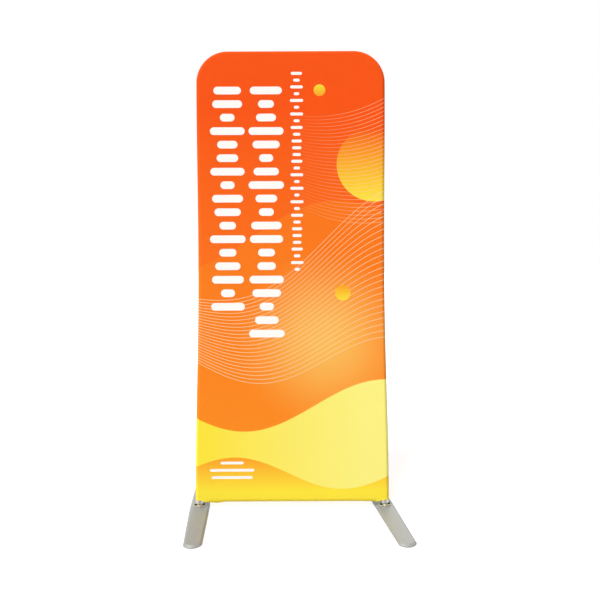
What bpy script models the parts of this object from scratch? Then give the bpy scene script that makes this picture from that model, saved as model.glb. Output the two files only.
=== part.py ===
"""Pillowcase banner stand with a rounded top, modelled as the separate pieces it comes apart into.

A frame of round tubes plugs together with snap buttons. A two-sided stretch cover is pulled over it
and zipped along the bottom. Each upright turns on the pin of a flat foot.

Metres, +Z up. The printed face looks along -Y. The origin is on the floor, under the middle of the
stand's outline.
"""

import math

import bmesh
import bpy
from mathutils import Matrix, Vector

# Driving sizes of the cover
COVER_HEIGHT = 2.009
COVER_TOP_WIDTH = 0.842
COVER_BOTTOM_WIDTH = 0.863
COVER_CORNER_RADIUS = 0.140
WAIST_DRAW = 0.0105  # how far the cover's pull bows each upright inwards at mid height
FABRIC_THICKNESS = 0.001
SEAM_GAP = 0.0003
BOTTOM_ROLL_DEGREES = 72  # how far each panel wraps under the crossbar
ZIP_DROP = 0.002  # room for the zip between the crossbar and the cover's bottom
FLAP_CLEARANCE = 0.002  # from an upright to where the bottom roll begins

# Driving sizes of the frame
TUBE_RADIUS = 0.016
TUBE_WALL = 0.0015
TUBE_SHOWS = 0.0065  # length of upright that stands out below the cover
BOW_LEG_LENGTH = 0.209  # from the top joint up to where the corner's bend begins
UPPER_UPRIGHT_LENGTH = 0.830
SPIGOT_LENGTH = 0.120
SPIGOT_WALL = 0.0015
STUB_LENGTH = 0.078
CLEARANCE = 0.0003

# Driving sizes of a snap joint
BUTTON_RADIUS = 0.004
BUTTON_PROUD = 0.003
BUTTON_FLANGE_RADIUS = 0.005
BUTTON_FLANGE_THICKNESS = 0.0008
BUTTON_FROM_JOINT = 0.035
BUTTON_FROM_STUB_END = 0.020
SPRING_WIDTH = 0.006
SPRING_THICKNESS = 0.0005
SPRING_LENGTH = 0.046
SPRING_TAIL = 0.006  # how far the spring's free end passes the button
RIVET_RADIUS = 0.002
RIVET_HEAD_RADIUS = 0.0038
RIVET_HEAD_HEIGHT = 0.0012
RIVET_TAIL = 0.0012
RIVET_FROM_JOINT = 0.042

# Driving sizes of a foot
FOOT_LENGTH = 0.600
FOOT_WIDTH = 0.0875
FOOT_END_WIDTH = 0.073
FOOT_END_DEPTH = 0.020  # how far the rounded end stands beyond its shoulders
PLATE_THICKNESS = 0.010
BEVEL_WIDTH = 0.010
BEVEL_DROP = 0.0055
BEVEL_ROUND = 0.002  # width of the softened arris between bevel and flat
PAD_RADIUS = 0.011
PAD_HEIGHT = 0.003
PAD_SINK = 0.001
PAD_FROM_TIP = 0.035
PAD_INNER = 0.110  # from the pivot to each inner pad
LEFT_FOOT_TURN = 6.0  # degrees, seen from above, anticlockwise
RIGHT_FOOT_TURN = 8.3

# Driving sizes of a foot's hub and of the bush that turns on it
FLANGE_THICKNESS = 0.006
FLANGE_RADIUS = 0.016
FLANGE_CHAMFER = 0.0008
EAR_RADIUS = 0.0085
EAR_SPACING = 0.0375
BOSS_RADIUS = 0.0125
BOSS_HEIGHT = 0.007
PIN_RADIUS = 0.011
PIN_LENGTH = 0.060
PIN_CHAMFER = 0.002
COLLAR_THICKNESS = 0.002
BUSH_LENGTH = 0.045
SCREW_HEAD_RADIUS = 0.00425
SCREW_HEAD_HEIGHT = 0.0035
SCREW_RADIUS = 0.0025
SCREW_LENGTH = 0.010
SOCKET_RADIUS = 0.00173
SOCKET_DEPTH = 0.002

# Driving sizes of the zip
TAPE_THICKNESS = 0.0008
TAPE_HALF_WIDTH = 0.0046
TAPE_GAP = 0.0014
COIL_WIDTH = 0.0020
COIL_HEIGHT = 0.0018
ZIP_FROM_UPRIGHT = 0.020  # from each upright to the end of the zip
STOP_LENGTH = 0.004
SLIDER_LENGTH = 0.010
SLIDER_WALL = 0.0012
SLIDER_WEB = 0.0008
SLIDER_NOSE = 0.0004
BRIDGE_WIDTH = 0.0025
BRIDGE_SPAN = 0.0072
BRIDGE_ROOM = 0.0023
BRIDGE_THICKNESS = 0.0008
PULL_LENGTH = 0.016
PULL_WIDTH = 0.006
PULL_THICKNESS = 0.0012
PULL_WINDOW = 0.0038

# Facets
TUBE_SIDES = 20
SMALL_SIDES = 12
SCOOP_SIDES = 24
UPRIGHT_STEPS = 5
CORNER_STEPS = 9
COVER_SIDE_STEPS = 16
ROLL_STEPS = TUBE_SIDES // 4
BOTTOM_ROLL_STEPS = 4

# Heights, from the floor up
PLATE_BOTTOM = PAD_HEIGHT - PAD_SINK
PLATE_TOP = PLATE_BOTTOM + PLATE_THICKNESS
FLANGE_BOTTOM = PLATE_TOP + CLEARANCE
FLANGE_TOP = FLANGE_BOTTOM + FLANGE_THICKNESS
BOSS_TOP = FLANGE_TOP + BOSS_HEIGHT
COLLAR_BOTTOM = BOSS_TOP + CLEARANCE
UPRIGHT_FOOT = COLLAR_BOTTOM + COLLAR_THICKNESS + CLEARANCE
COVER_BOTTOM = UPRIGHT_FOOT + TUBE_SHOWS

# The cover lies on the tubes, so the tubes' centre line is this far inside its outline
COVER_REACH = TUBE_RADIUS + CLEARANCE + FABRIC_THICKNESS
BOTTOM_ROLL = math.radians(BOTTOM_ROLL_DEGREES)
CROSSBAR_Z = COVER_BOTTOM + (COVER_REACH + ZIP_DROP) * math.sin(BOTTOM_ROLL)
COVER_TOP = COVER_BOTTOM + COVER_HEIGHT
TOP_TUBE_Z = COVER_TOP - COVER_REACH
TANGENT_Z = COVER_TOP - COVER_CORNER_RADIUS
TUBE_BEND = COVER_CORNER_RADIUS - COVER_REACH
UPPER_JOINT_Z = TANGENT_Z - BOW_LEG_LENGTH
LOWER_JOINT_Z = UPPER_JOINT_Z - UPPER_UPRIGHT_LENGTH

# Bores
TUBE_BORE = TUBE_RADIUS - TUBE_WALL
SPIGOT_RADIUS = TUBE_BORE - CLEARANCE
SPIGOT_BORE = SPIGOT_RADIUS - SPIGOT_WALL
SLOPE_STEP = 0.001  # for the uprights' lean


# The frame's centre line
def cover_half_width(z):
    """Half of the cover's width at a height: wider at the bottom, drawn in at the waist."""
    share = min(max((z - COVER_BOTTOM) / (TANGENT_Z - COVER_BOTTOM), 0.0), 1.0)
    blend = share * share * (3 - 2 * share)
    straight = (COVER_BOTTOM_WIDTH + (COVER_TOP_WIDTH - COVER_BOTTOM_WIDTH) * blend) / 2
    return straight - WAIST_DRAW * math.sin(math.pi * share) ** 2


def upright_x(z):
    return cover_half_width(z) - COVER_REACH


def upright_station(z):
    """A point on the right upright's centre line, with the normal that points out of the frame."""
    lean = (upright_x(z + SLOPE_STEP) - upright_x(z - SLOPE_STEP)) / (2 * SLOPE_STEP)
    return Vector((upright_x(z), 0, z)), Vector((1, 0, -lean)).normalized()


def upright_stations(low, high, steps):
    return [upright_station(low + (high - low) * i / steps) for i in range(steps + 1)]


def corner_stations(steps):
    """The bend at the right-hand top corner, from the upright to the top."""
    centre = Vector((upright_x(TANGENT_Z) - TUBE_BEND, 0, TANGENT_Z))
    stations = []
    for i in range(1, steps + 1):
        turn = math.pi / 2 * i / steps
        normal = Vector((math.cos(turn), 0, math.sin(turn)))
        stations.append((centre + normal * TUBE_BEND, normal))
    return stations


def top_station(x):
    return Vector((x, 0, TOP_TUBE_Z)), Vector((0, 0, 1))


def mirrored(stations, side):
    """The stations on the right (side 1) or on the left (side -1) of the stand."""
    flip = Matrix.Diagonal((side, 1, 1))
    return [(flip @ point, flip @ normal) for point, normal in stations]


# Mesh helpers
def mesh_from(bm, name, smooth_below=30):
    """A finished mesh: closed, facing out, smooth where faces meet at a small angle."""
    bmesh.ops.recalc_face_normals(bm, faces=bm.faces)
    mesh = bpy.data.meshes.new(name)
    bm.to_mesh(mesh)
    bm.free()
    mesh.shade_smooth()
    mesh.set_sharp_from_angle(angle=math.radians(smooth_below))
    return mesh


def bridge(bm, first, second, closed=True):
    """Quads between two rows of as many points."""
    count = len(first)
    for i in range(count if closed else count - 1):
        j = (i + 1) % count
        bm.faces.new((first[i], first[j], second[j], second[i]))


def stacked(name, rings):
    """A solid through rings of as many points each, closed by its first and last ring."""
    bm = bmesh.new()
    rows = [[bm.verts.new(point) for point in ring] for ring in rings]
    for first, second in zip(rows, rows[1:]):
        bridge(bm, first, second)
    bm.faces.new(rows[0])
    bm.faces.new(rows[-1])
    return mesh_from(bm, name)


def flat_on_floor(u, v, height):
    return Vector((u, v, height))


def across_stand(u, v, x):
    return Vector((x, u, v))


def facing_front(u, v, y):
    return Vector((u, y, v))


def prism(name, outline, low, high, place=flat_on_floor):
    """An outline of (u, v) points drawn out from low to high."""
    return stacked(name, [[place(u, v, level) for u, v in outline] for level in (low, high)])


def turned(name, profile, sides=SMALL_SIDES):
    """A (radius, height) profile turned round Z: from axis to axis, or a closed loop clear of it."""
    bm = bmesh.new()
    rows = []
    for radius, height in profile:
        count = sides if radius else 1
        turns = [2 * math.pi * i / sides for i in range(count)]
        rows.append([bm.verts.new((radius * math.cos(t), radius * math.sin(t), height)) for t in turns])
    pairs = list(zip(rows, rows[1:]))
    if profile[0][0] and profile[-1][0]:
        pairs.append((rows[-1], rows[0]))
    for first, second in pairs:
        for i in range(sides):
            j = (i + 1) % sides
            corners = (first[i % len(first)], first[j % len(first)])
            corners += (second[j % len(second)], second[i % len(second)])
            bm.faces.new(list(dict.fromkeys(corners)))
    return mesh_from(bm, name)


def rings_along(stations, radius, sides=TUBE_SIDES):
    """Circles square to the centre line at each of its stations."""
    front = Vector((0, -1, 0))
    turns = [2 * math.pi * i / sides for i in range(sides)]
    return [
        [point + (normal * math.cos(t) + front * math.sin(t)) * radius for t in turns]
        for point, normal in stations
    ]


def pipe(name, stations, outer, inner):
    """An open-ended tube along the stations."""
    bm = bmesh.new()
    outside = [[bm.verts.new(p) for p in ring] for ring in rings_along(stations, outer)]
    inside = [[bm.verts.new(p) for p in ring] for ring in rings_along(stations, inner)]
    for rows in (outside, inside):
        for first, second in zip(rows, rows[1:]):
            bridge(bm, first, second)
    bridge(bm, outside[0], inside[0])
    bridge(bm, outside[-1], inside[-1])
    return mesh_from(bm, name)


def placed_copy(mesh, matrix):
    copy = mesh.copy()
    copy.transform(matrix)
    return copy


def combined(name, mesh, steps):
    """The mesh after a list of (operation, other mesh) Booleans."""
    body = bpy.data.objects.new(name, mesh)
    bpy.context.scene.collection.objects.link(body)
    tools = []
    for operation, other in steps:
        tool = bpy.data.objects.new(name + "_tool", other)
        bpy.context.scene.collection.objects.link(tool)
        change = body.modifiers.new("change", "BOOLEAN")
        change.operation = operation
        change.solver = "EXACT"
        change.object = tool
        tools.append(tool)
    graph = bpy.context.evaluated_depsgraph_get()
    result = bpy.data.meshes.new_from_object(body.evaluated_get(graph))
    result.name = name
    for helper in [body] + tools:
        bpy.data.objects.remove(helper)
    result.shade_smooth()
    result.set_sharp_from_angle(angle=math.radians(30))
    return result


def add(name, mesh, material, parent, matrix=None):
    """A named piece in the scene, placed under its parent."""
    piece = bpy.data.objects.new(name, mesh)
    bpy.context.scene.collection.objects.link(piece)
    piece.parent = parent
    if matrix is not None:
        piece.matrix_local = matrix
    if not mesh.materials:
        mesh.materials.append(material)
    return piece


def add_empty(name, parent=None, location=(0, 0, 0), turn=0.0):
    empty = bpy.data.objects.new(name, None)
    bpy.context.scene.collection.objects.link(empty)
    empty.parent = parent
    empty.location = location
    empty.rotation_euler.z = math.radians(turn)
    return empty


def finish(name, colour, metallic, roughness):
    material = bpy.data.materials.new(name)
    material.use_nodes = True
    shader = material.node_tree.nodes["Principled BSDF"]
    shader.inputs["Base Color"].default_value = (*colour, 1)
    shader.inputs["Metallic"].default_value = metallic
    shader.inputs["Roughness"].default_value = roughness
    return material


# Frame tubes
def drill(name, point, direction, radius, reach):
    """A round cutter that starts on the tube's axis and passes out through one wall."""
    turn = direction.to_track_quat("Z", "Y").to_matrix().to_4x4()
    start = SPIGOT_BORE / 2
    rod = turned(name, [(0, start), (radius, start), (radius, reach), (0, reach)])
    return placed_copy(rod, Matrix.Translation(point) @ turn)


def button_hole(point, outward):
    return drill("button_hole", point, outward, BUTTON_RADIUS + CLEARANCE, 2 * TUBE_RADIUS)


def rivet_hole(point, outward):
    return drill("rivet_hole", point, outward, RIVET_RADIUS + CLEARANCE, 2 * TUBE_RADIUS)


def joint_seat(side, joint_z, along):
    """The station of a snap button or rivet at a distance above an upright's joint."""
    (point, normal), = mirrored([upright_station(joint_z + along)], side)
    return point, -normal


def lower_upright(side):
    """The bottom length of an upright, with the crossbar's stub welded to its inner side."""
    stations = mirrored(upright_stations(UPRIGHT_FOOT, LOWER_JOINT_Z, UPRIGHT_STEPS), side)
    outside = stacked("upright_outside", rings_along(stations, TUBE_RADIUS))
    over = mirrored(
        [upright_station(UPRIGHT_FOOT - TUBE_RADIUS)]
        + upright_stations(UPRIGHT_FOOT, LOWER_JOINT_Z, UPRIGHT_STEPS)
        + [upright_station(LOWER_JOINT_Z + TUBE_RADIUS)],
        side,
    )
    bore = stacked("upright_bore", rings_along(over, TUBE_BORE))
    axis_x = upright_x(CROSSBAR_Z)
    stub_end = axis_x - TUBE_RADIUS - STUB_LENGTH
    stub = stacked("stub", rings_along(crossbar_line(side, axis_x, stub_end), SPIGOT_RADIUS))
    stub_floor = axis_x - TUBE_RADIUS - CLEARANCE
    hollow = crossbar_line(side, stub_floor, stub_end - TUBE_RADIUS)
    stub_bore = stacked("stub_bore", rings_along(hollow, SPIGOT_BORE))
    return combined(
        "lower_upright",
        outside,
        [
            ("UNION", stub),
            ("DIFFERENCE", bore),
            ("DIFFERENCE", stub_bore),
            ("DIFFERENCE", button_hole(*crossbar_button_seat(side))),
            ("DIFFERENCE", button_hole(*joint_seat(side, LOWER_JOINT_Z, -BUTTON_FROM_JOINT))),
        ],
    )


def upper_upright(side):
    """The top length of an upright: its lower end carries the spigot that its rivet holds."""
    low = LOWER_JOINT_Z + CLEARANCE
    stations = mirrored(upright_stations(low, UPPER_JOINT_Z, UPRIGHT_STEPS), side)
    return combined(
        "upper_upright",
        pipe("upright_tube", stations, TUBE_RADIUS, TUBE_BORE),
        [
            ("DIFFERENCE", rivet_hole(*joint_seat(side, LOWER_JOINT_Z, RIVET_FROM_JOINT))),
            ("DIFFERENCE", button_hole(*joint_seat(side, UPPER_JOINT_Z, -BUTTON_FROM_JOINT))),
        ],
    )


def top_bow(side):
    """One bent corner: a leg down the side, the bend, and half of the top."""
    low = UPPER_JOINT_Z + CLEARANCE
    right = upright_stations(low, TANGENT_Z, 2) + corner_stations(CORNER_STEPS)
    right.append(top_station(CLEARANCE / 2))
    bow = pipe("bow_tube", mirrored(right, side), TUBE_RADIUS, TUBE_BORE)
    top_hole = button_hole if side > 0 else rivet_hole
    from_centre = BUTTON_FROM_JOINT if side > 0 else RIVET_FROM_JOINT
    return combined(
        "top_bow",
        bow,
        [
            ("DIFFERENCE", rivet_hole(*joint_seat(side, UPPER_JOINT_Z, RIVET_FROM_JOINT))),
            ("DIFFERENCE", top_hole(Vector((side * from_centre, 0, TOP_TUBE_Z)), Vector((0, 0, -1)))),
        ],
    )


def crossbar_line(side, start, stop):
    """Stations along the crossbar's axis, on one side of the stand."""
    return [(Vector((side * x, 0, CROSSBAR_Z)), Vector((0, 0, 1))) for x in (start, stop)]


def crossbar_end():
    return upright_x(CROSSBAR_Z) - TUBE_RADIUS - CLEARANCE


def crossbar_button_seat(side):
    from_middle = crossbar_end() - STUB_LENGTH + BUTTON_FROM_STUB_END
    return Vector((side * from_middle, 0, CROSSBAR_Z)), Vector((0, 0, 1))


def bottom_crossbar():
    """The tube between the uprights, its ends scooped to sit against them."""
    raw_end = upright_x(CROSSBAR_Z) - TUBE_RADIUS / 2
    line = [(Vector((x, 0, CROSSBAR_Z)), Vector((0, 0, 1))) for x in (-raw_end, raw_end)]
    bar = pipe("crossbar_tube", line, TUBE_RADIUS, TUBE_BORE)
    changes = []
    reach = TUBE_RADIUS + CLEARANCE
    profile = [(0, -2 * reach), (reach, -2 * reach), (reach, 2 * reach), (0, 2 * reach)]
    for side in (-1, 1):
        spot = Matrix.Translation((side * upright_x(CROSSBAR_Z), 0, CROSSBAR_Z))
        changes.append(("DIFFERENCE", placed_copy(turned("scoop", profile, SCOOP_SIDES), spot)))
        changes.append(("DIFFERENCE", button_hole(*crossbar_button_seat(side))))
    return combined("bottom_crossbar", bar, changes)


def upright_spigot(side, joint_z):
    """The sleeve inside an upright's joint, with its rivet hole above and button hole below."""
    half = SPIGOT_LENGTH / 2
    stations = mirrored(upright_stations(joint_z - half, joint_z + half, 1), side)
    return combined(
        "spigot",
        pipe("spigot_tube", stations, SPIGOT_RADIUS, SPIGOT_BORE),
        [
            ("DIFFERENCE", button_hole(*joint_seat(side, joint_z, -BUTTON_FROM_JOINT))),
            ("DIFFERENCE", rivet_hole(*joint_seat(side, joint_z, RIVET_FROM_JOINT))),
        ],
    )


def top_spigot():
    """The sleeve inside the joint at the middle of the top."""
    stations = [top_station(-SPIGOT_LENGTH / 2), top_station(SPIGOT_LENGTH / 2)]
    down = Vector((0, 0, -1))
    return combined(
        "spigot",
        pipe("spigot_tube", stations, SPIGOT_RADIUS, SPIGOT_BORE),
        [
            ("DIFFERENCE", button_hole(Vector((BUTTON_FROM_JOINT, 0, TOP_TUBE_Z)), down)),
            ("DIFFERENCE", rivet_hole(Vector((-RIVET_FROM_JOINT, 0, TOP_TUBE_Z)), down)),
        ],
    )


# Snap buttons, in a frame of their own: +Z points out of the tube and +X along it to the spring
BUTTON_SHOULDER = math.sqrt(SPIGOT_BORE**2 - BUTTON_FLANGE_RADIUS**2) - CLEARANCE
BUTTON_SEAT = BUTTON_SHOULDER - BUTTON_FLANGE_THICKNESS
BUTTON_TOP = TUBE_RADIUS + BUTTON_PROUD


def snap_button():
    """A domed stud with a flange that stops against the spigot's inner wall."""
    dome = BUTTON_TOP - BUTTON_PROUD
    profile = [(0, BUTTON_SEAT), (BUTTON_FLANGE_RADIUS, BUTTON_SEAT)]
    profile += [(BUTTON_FLANGE_RADIUS, BUTTON_SHOULDER), (BUTTON_RADIUS, BUTTON_SHOULDER)]
    for i in range(4):
        turn = math.pi / 2 * i / 4
        profile.append((BUTTON_RADIUS * math.cos(turn), dome + BUTTON_PROUD * math.sin(turn)))
    profile.append((0, BUTTON_TOP))
    return turned("snap_button", profile)


def snap_spring():
    """A bent strip: one leg lies under the button, the other against the far wall."""
    upper = BUTTON_SEAT - CLEARANCE - SPRING_THICKNESS / 2
    chord = math.sqrt(SPIGOT_BORE**2 - (SPRING_WIDTH / 2) ** 2)
    lower = -chord + CLEARANCE + SPRING_THICKNESS / 2
    bend = SPIGOT_BORE / 3
    bend_at = SPRING_LENGTH - bend
    line = [(-SPRING_TAIL, upper), (SPRING_TAIL, upper)]
    for i in range(7):
        turn = math.pi / 2 - math.pi * i / 6
        line.append((bend_at + bend * math.cos(turn), bend * math.sin(turn)))
    line += [(SPRING_TAIL, lower), (-SPRING_TAIL, lower)]
    return prism("snap_spring", strip_outline(line, SPRING_THICKNESS), -SPRING_WIDTH / 2, SPRING_WIDTH / 2, facing_front)


def strip_outline(line, thickness):
    """The outline of a bent strip, offset to both sides of its middle line."""
    sides = ([], [])
    for i, (u, v) in enumerate(line):
        before = line[max(i - 1, 0)]
        after = line[min(i + 1, len(line) - 1)]
        run = math.hypot(after[0] - before[0], after[1] - before[1])
        across = (-(after[1] - before[1]) / run, (after[0] - before[0]) / run)
        for side, sign in zip(sides, (0.5, -0.5)):
            side.append((u + across[0] * thickness * sign, v + across[1] * thickness * sign))
    return sides[0] + sides[1][::-1]


def snap_rivet():
    """A blind rivet: a low domed head outside, its shank through both walls."""
    head = TUBE_RADIUS + CLEARANCE
    tail = SPIGOT_BORE - RIVET_TAIL
    return turned(
        "snap_rivet",
        [
            (0, tail),
            (RIVET_RADIUS, tail),
            (RIVET_RADIUS, head),
            (RIVET_HEAD_RADIUS, head),
            (RIVET_HEAD_RADIUS * 0.7, head + RIVET_HEAD_HEIGHT * 0.7),
            (0, head + RIVET_HEAD_HEIGHT),
        ],
    )


def joint_frame(point, outward, along):
    """The placing of a snap button, spring or rivet."""
    across = outward.cross(along).normalized()
    along = across.cross(outward)
    turn = Matrix((along, across, outward)).transposed()
    return Matrix.Translation(point) @ turn.to_4x4()


# Cover
def cover_line(reach, steps):
    """Stations round the cover from its bottom right, over the top, to its bottom left."""
    rows = [CROSSBAR_Z - (reach + ZIP_DROP) * math.sin(BOTTOM_ROLL * i / steps) for i in range(steps, 0, -1)]
    right = [upright_station(z) for z in rows]
    right += upright_stations(CROSSBAR_Z, TANGENT_Z, COVER_SIDE_STEPS)
    right += corner_stations(CORNER_STEPS)
    return right + [top_station(0)] + mirrored(right, -1)[::-1]


def cover_surface(bm, reach, face):
    """One skin of a panel, with its boundary: the roll over the tubes, the flat and the bottom roll."""
    front = Vector((0, face, 0))
    line = cover_line(reach, BOTTOM_ROLL_STEPS)
    columns = []
    for i in range(ROLL_STEPS + 1):
        turn = math.pi / 2 * i / ROLL_STEPS
        depth = max(reach * math.cos(turn), SEAM_GAP / 2)
        columns.append([bm.verts.new(p + n * reach * math.sin(turn) + front * depth) for p, n in line])
    for first, second in zip(columns, columns[1:]):
        bridge(bm, first, second, closed=False)

    inner = columns[0]
    flap_x = crossbar_end() - FLAP_CLEARANCE
    roll_x = flap_x - FLAP_CLEARANCE
    rows = []
    for i in range(BOTTOM_ROLL_STEPS + 1):
        turn = BOTTOM_ROLL * i / BOTTOM_ROLL_STEPS
        z = CROSSBAR_Z - (reach + ZIP_DROP) * math.sin(turn)
        right, left = inner[BOTTOM_ROLL_STEPS - i], inner[i - BOTTOM_ROLL_STEPS - 1]
        middle = [(flap_x, 1), (roll_x, math.cos(turn)), (-roll_x, math.cos(turn)), (-flap_x, 1)]
        rows.append([right] + [bm.verts.new((x, face * reach * y, z)) for x, y in middle] + [left])
    for first, second in zip(rows, rows[1:]):
        bridge(bm, first, second, closed=False)

    above = inner[BOTTOM_ROLL_STEPS : len(inner) - BOTTOM_ROLL_STEPS]
    bm.faces.new(above + rows[0][1:-1][::-1])
    seam = columns[-1]
    right_edge = [column[0] for column in columns[:-1]]
    left_edge = [column[-1] for column in columns[:-1]]
    return seam + left_edge[::-1] + rows[-1][1:-1][::-1] + right_edge


def cover_panel(name, face):
    """A panel as thick as its fabric, hooked over half of every tube."""
    bm = bmesh.new()
    outer = cover_surface(bm, COVER_REACH, face)
    inner = cover_surface(bm, COVER_REACH - FABRIC_THICKNESS, face)
    bridge(bm, outer, inner)
    return mesh_from(bm, name)


# Zip, whose heights are counted down from the crossbar
TAPE_TOP = CROSSBAR_Z - TUBE_RADIUS - CLEARANCE - SLIDER_WALL - 2 * CLEARANCE
TAPE_BOTTOM = TAPE_TOP - TAPE_THICKNESS
COIL_BOTTOM = TAPE_BOTTOM - COIL_HEIGHT
COIL_OUTER = TAPE_GAP / 2 + COIL_WIDTH
SLIDER_FLOOR = COIL_BOTTOM - CLEARANCE
SLIDER_BOTTOM = SLIDER_FLOOR - SLIDER_WALL
PULL_AXIS_Z = SLIDER_BOTTOM - BRIDGE_ROOM / 2


def zip_half_length():
    return crossbar_end() - ZIP_FROM_UPRIGHT


def stop_x():
    return zip_half_length() - STOP_LENGTH / 2


def slider_travel():
    """How far the slider's middle runs to each side before it meets a stop."""
    return stop_x() - (STOP_LENGTH + SLIDER_LENGTH) / 2 - CLEARANCE


def zip_tape(name, face):
    """One side of the zip: a woven tape, with its half of the coil along the inner edge."""
    section = [
        (TAPE_GAP / 2, TAPE_TOP),
        (TAPE_HALF_WIDTH, TAPE_TOP),
        (TAPE_HALF_WIDTH, TAPE_BOTTOM),
        (COIL_OUTER, TAPE_BOTTOM),
        (COIL_OUTER, COIL_BOTTOM + COIL_HEIGHT / 3),
        (COIL_OUTER - COIL_HEIGHT / 3, COIL_BOTTOM),
        (TAPE_GAP / 2, COIL_BOTTOM),
    ]
    outline = [(face * y, z) for y, z in section]
    return prism(name, outline, -zip_half_length(), zip_half_length(), across_stand)


def zip_stop():
    """A clip pressed round both halves of the coil, open at the top."""
    inside = COIL_OUTER + CLEARANCE
    outside = inside + SLIDER_WALL
    rim = TAPE_BOTTOM - CLEARANCE
    half = [(outside, SLIDER_BOTTOM), (outside, rim), (inside, rim), (inside, SLIDER_FLOOR)]
    outline = half + [(-y, z) for y, z in half[::-1]]
    return prism("zip_stop", outline, -STOP_LENGTH / 2, STOP_LENGTH / 2, across_stand)


def zip_slider():
    """The slider: a channel under the coil, joined by a web between the tapes to a plate above them."""
    inside = COIL_OUTER + CLEARANCE
    outside = inside + SLIDER_WALL
    rim = TAPE_BOTTOM - CLEARANCE
    plate = TAPE_TOP + CLEARANCE
    rings = []
    for x, nose in ((-0.5, 1), (-0.4, 0), (0.4, 0), (0.5, 1)):
        half = [
            (outside - nose * SLIDER_NOSE, SLIDER_BOTTOM + nose * SLIDER_NOSE),
            (outside - nose * SLIDER_NOSE, rim),
            (inside, rim),
            (inside, SLIDER_FLOOR),
            (SLIDER_WEB / 2, SLIDER_FLOOR),
            (SLIDER_WEB / 2, plate),
            (inside, plate),
            (inside, plate + SLIDER_WALL),
        ]
        outline = half + [(-y, z) for y, z in half[::-1]]
        rings.append([across_stand(y, z - PULL_AXIS_Z, x * SLIDER_LENGTH) for y, z in outline])
    body = stacked("slider_body", rings)
    deck = SLIDER_BOTTOM - PULL_AXIS_Z
    arch = [(-BRIDGE_SPAN / 2, deck + SLIDER_WALL / 2), (-BRIDGE_SPAN / 2, deck - BRIDGE_ROOM / 2)]
    arch += [(-BRIDGE_SPAN / 4, deck - BRIDGE_ROOM - BRIDGE_THICKNESS / 2)]
    arch += [(-u, v) for u, v in arch[::-1]]
    strap = strip_outline(arch, BRIDGE_THICKNESS)
    bridge_strap = prism("slider_bridge", strap, -BRIDGE_WIDTH / 2, BRIDGE_WIDTH / 2, facing_front)
    return combined("zip_slider", body, [("UNION", bridge_strap)])


def zip_pull():
    """The pull tab, whose top bar turns under the slider's bridge."""
    bar = PULL_THICKNESS / 2
    half = PULL_WIDTH / 2
    tab = [(half, bar), (half, -PULL_LENGTH + half)]
    tab += [(half * math.cos(t), -PULL_LENGTH + half - half * math.sin(t)) for t in quarter_turns(6)]
    tab += [(-half, -PULL_LENGTH + half), (-half, bar)]
    window = BRIDGE_WIDTH / 2 + 2 * CLEARANCE
    opening = [(window, -bar), (window, -bar - PULL_WINDOW), (-window, -bar - PULL_WINDOW), (-window, -bar)]
    solid = prism("pull_tab", tab, -bar, bar, across_stand)
    cutter = prism("pull_window", opening, -2 * bar, 2 * bar, across_stand)
    return combined("zip_pull", solid, [("DIFFERENCE", cutter)])


def quarter_turns(steps):
    """Angles strictly inside a half turn."""
    return [math.pi * i / steps for i in range(1, steps)]


# Feet, in a frame of their own: the pivot is at the origin and the front tip at -Y
def foot_outline(inset):
    """The plate's outline: widest at the pivot, tapered to two rounded ends."""
    end_half = FOOT_END_WIDTH / 2
    end_radius = (end_half**2 + FOOT_END_DEPTH**2) / (2 * FOOT_END_DEPTH)
    centre = FOOT_LENGTH / 2 - end_radius
    radius = end_radius - inset
    shoulder = math.asin(min((end_half - inset) / radius, 1))
    arc = []
    steps = 12
    for i in range(steps + 1):
        turn = shoulder - 2 * shoulder * i / steps
        arc.append((radius * math.sin(turn), -centre - radius * math.cos(turn)))
    front = [(FOOT_WIDTH / 2 - inset, 0)] + arc
    return front + [(-x, -y) for x, y in front]


def foot_plate():
    """A flat bar with a bevel all round its top, drilled for the hub's screws and for its pads."""
    levels = [
        (0, PLATE_BOTTOM),
        (0, PLATE_TOP - BEVEL_DROP),
        (BEVEL_WIDTH - BEVEL_ROUND, PLATE_TOP - BEVEL_DROP * BEVEL_ROUND / BEVEL_WIDTH / 2),
        (BEVEL_WIDTH, PLATE_TOP),
    ]
    rings = [[flat_on_floor(x, y, z) for x, y in foot_outline(inset)] for inset, z in levels]
    plate = stacked("plate", rings)
    changes = []
    for side in (-1, 1):
        spot = Matrix.Translation((side * EAR_SPACING / 2, 0, 0))
        changes.append(("DIFFERENCE", placed_copy(screw_hole(), spot)))
    for y in pad_places():
        recess = PAD_RADIUS + CLEARANCE
        profile = [(0, -PAD_HEIGHT), (recess, -PAD_HEIGHT)]
        profile += [(recess, PAD_HEIGHT + CLEARANCE), (0, PAD_HEIGHT + CLEARANCE)]
        changes.append(("DIFFERENCE", placed_copy(turned("recess", profile), Matrix.Translation((0, y, 0)))))
    return combined("foot_plate", plate, changes)


def screw_hole():
    """A blind hole down from the plate's top, as deep as the screw reaches."""
    radius = SCREW_RADIUS + CLEARANCE
    bottom = screw_tip_z() - CLEARANCE
    return turned("screw_hole", [(0, bottom), (radius, bottom), (radius, 2 * PLATE_TOP), (0, 2 * PLATE_TOP)])


def screw_seat_z():
    """The floor of a counterbore in the hub's flange."""
    return FLANGE_TOP - SCREW_HEAD_HEIGHT - CLEARANCE


def screw_tip_z():
    return screw_seat_z() + CLEARANCE - SCREW_LENGTH


def pad_places():
    tip = FOOT_LENGTH / 2 - PAD_FROM_TIP
    return (-tip, -PAD_INNER, PAD_INNER, tip)


def foot_pad():
    chamfer = PAD_SINK / 2
    profile = [(0, 0), (PAD_RADIUS - chamfer, 0), (PAD_RADIUS, chamfer), (PAD_RADIUS, PAD_HEIGHT), (0, PAD_HEIGHT)]
    return turned("foot_pad", profile)


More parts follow.
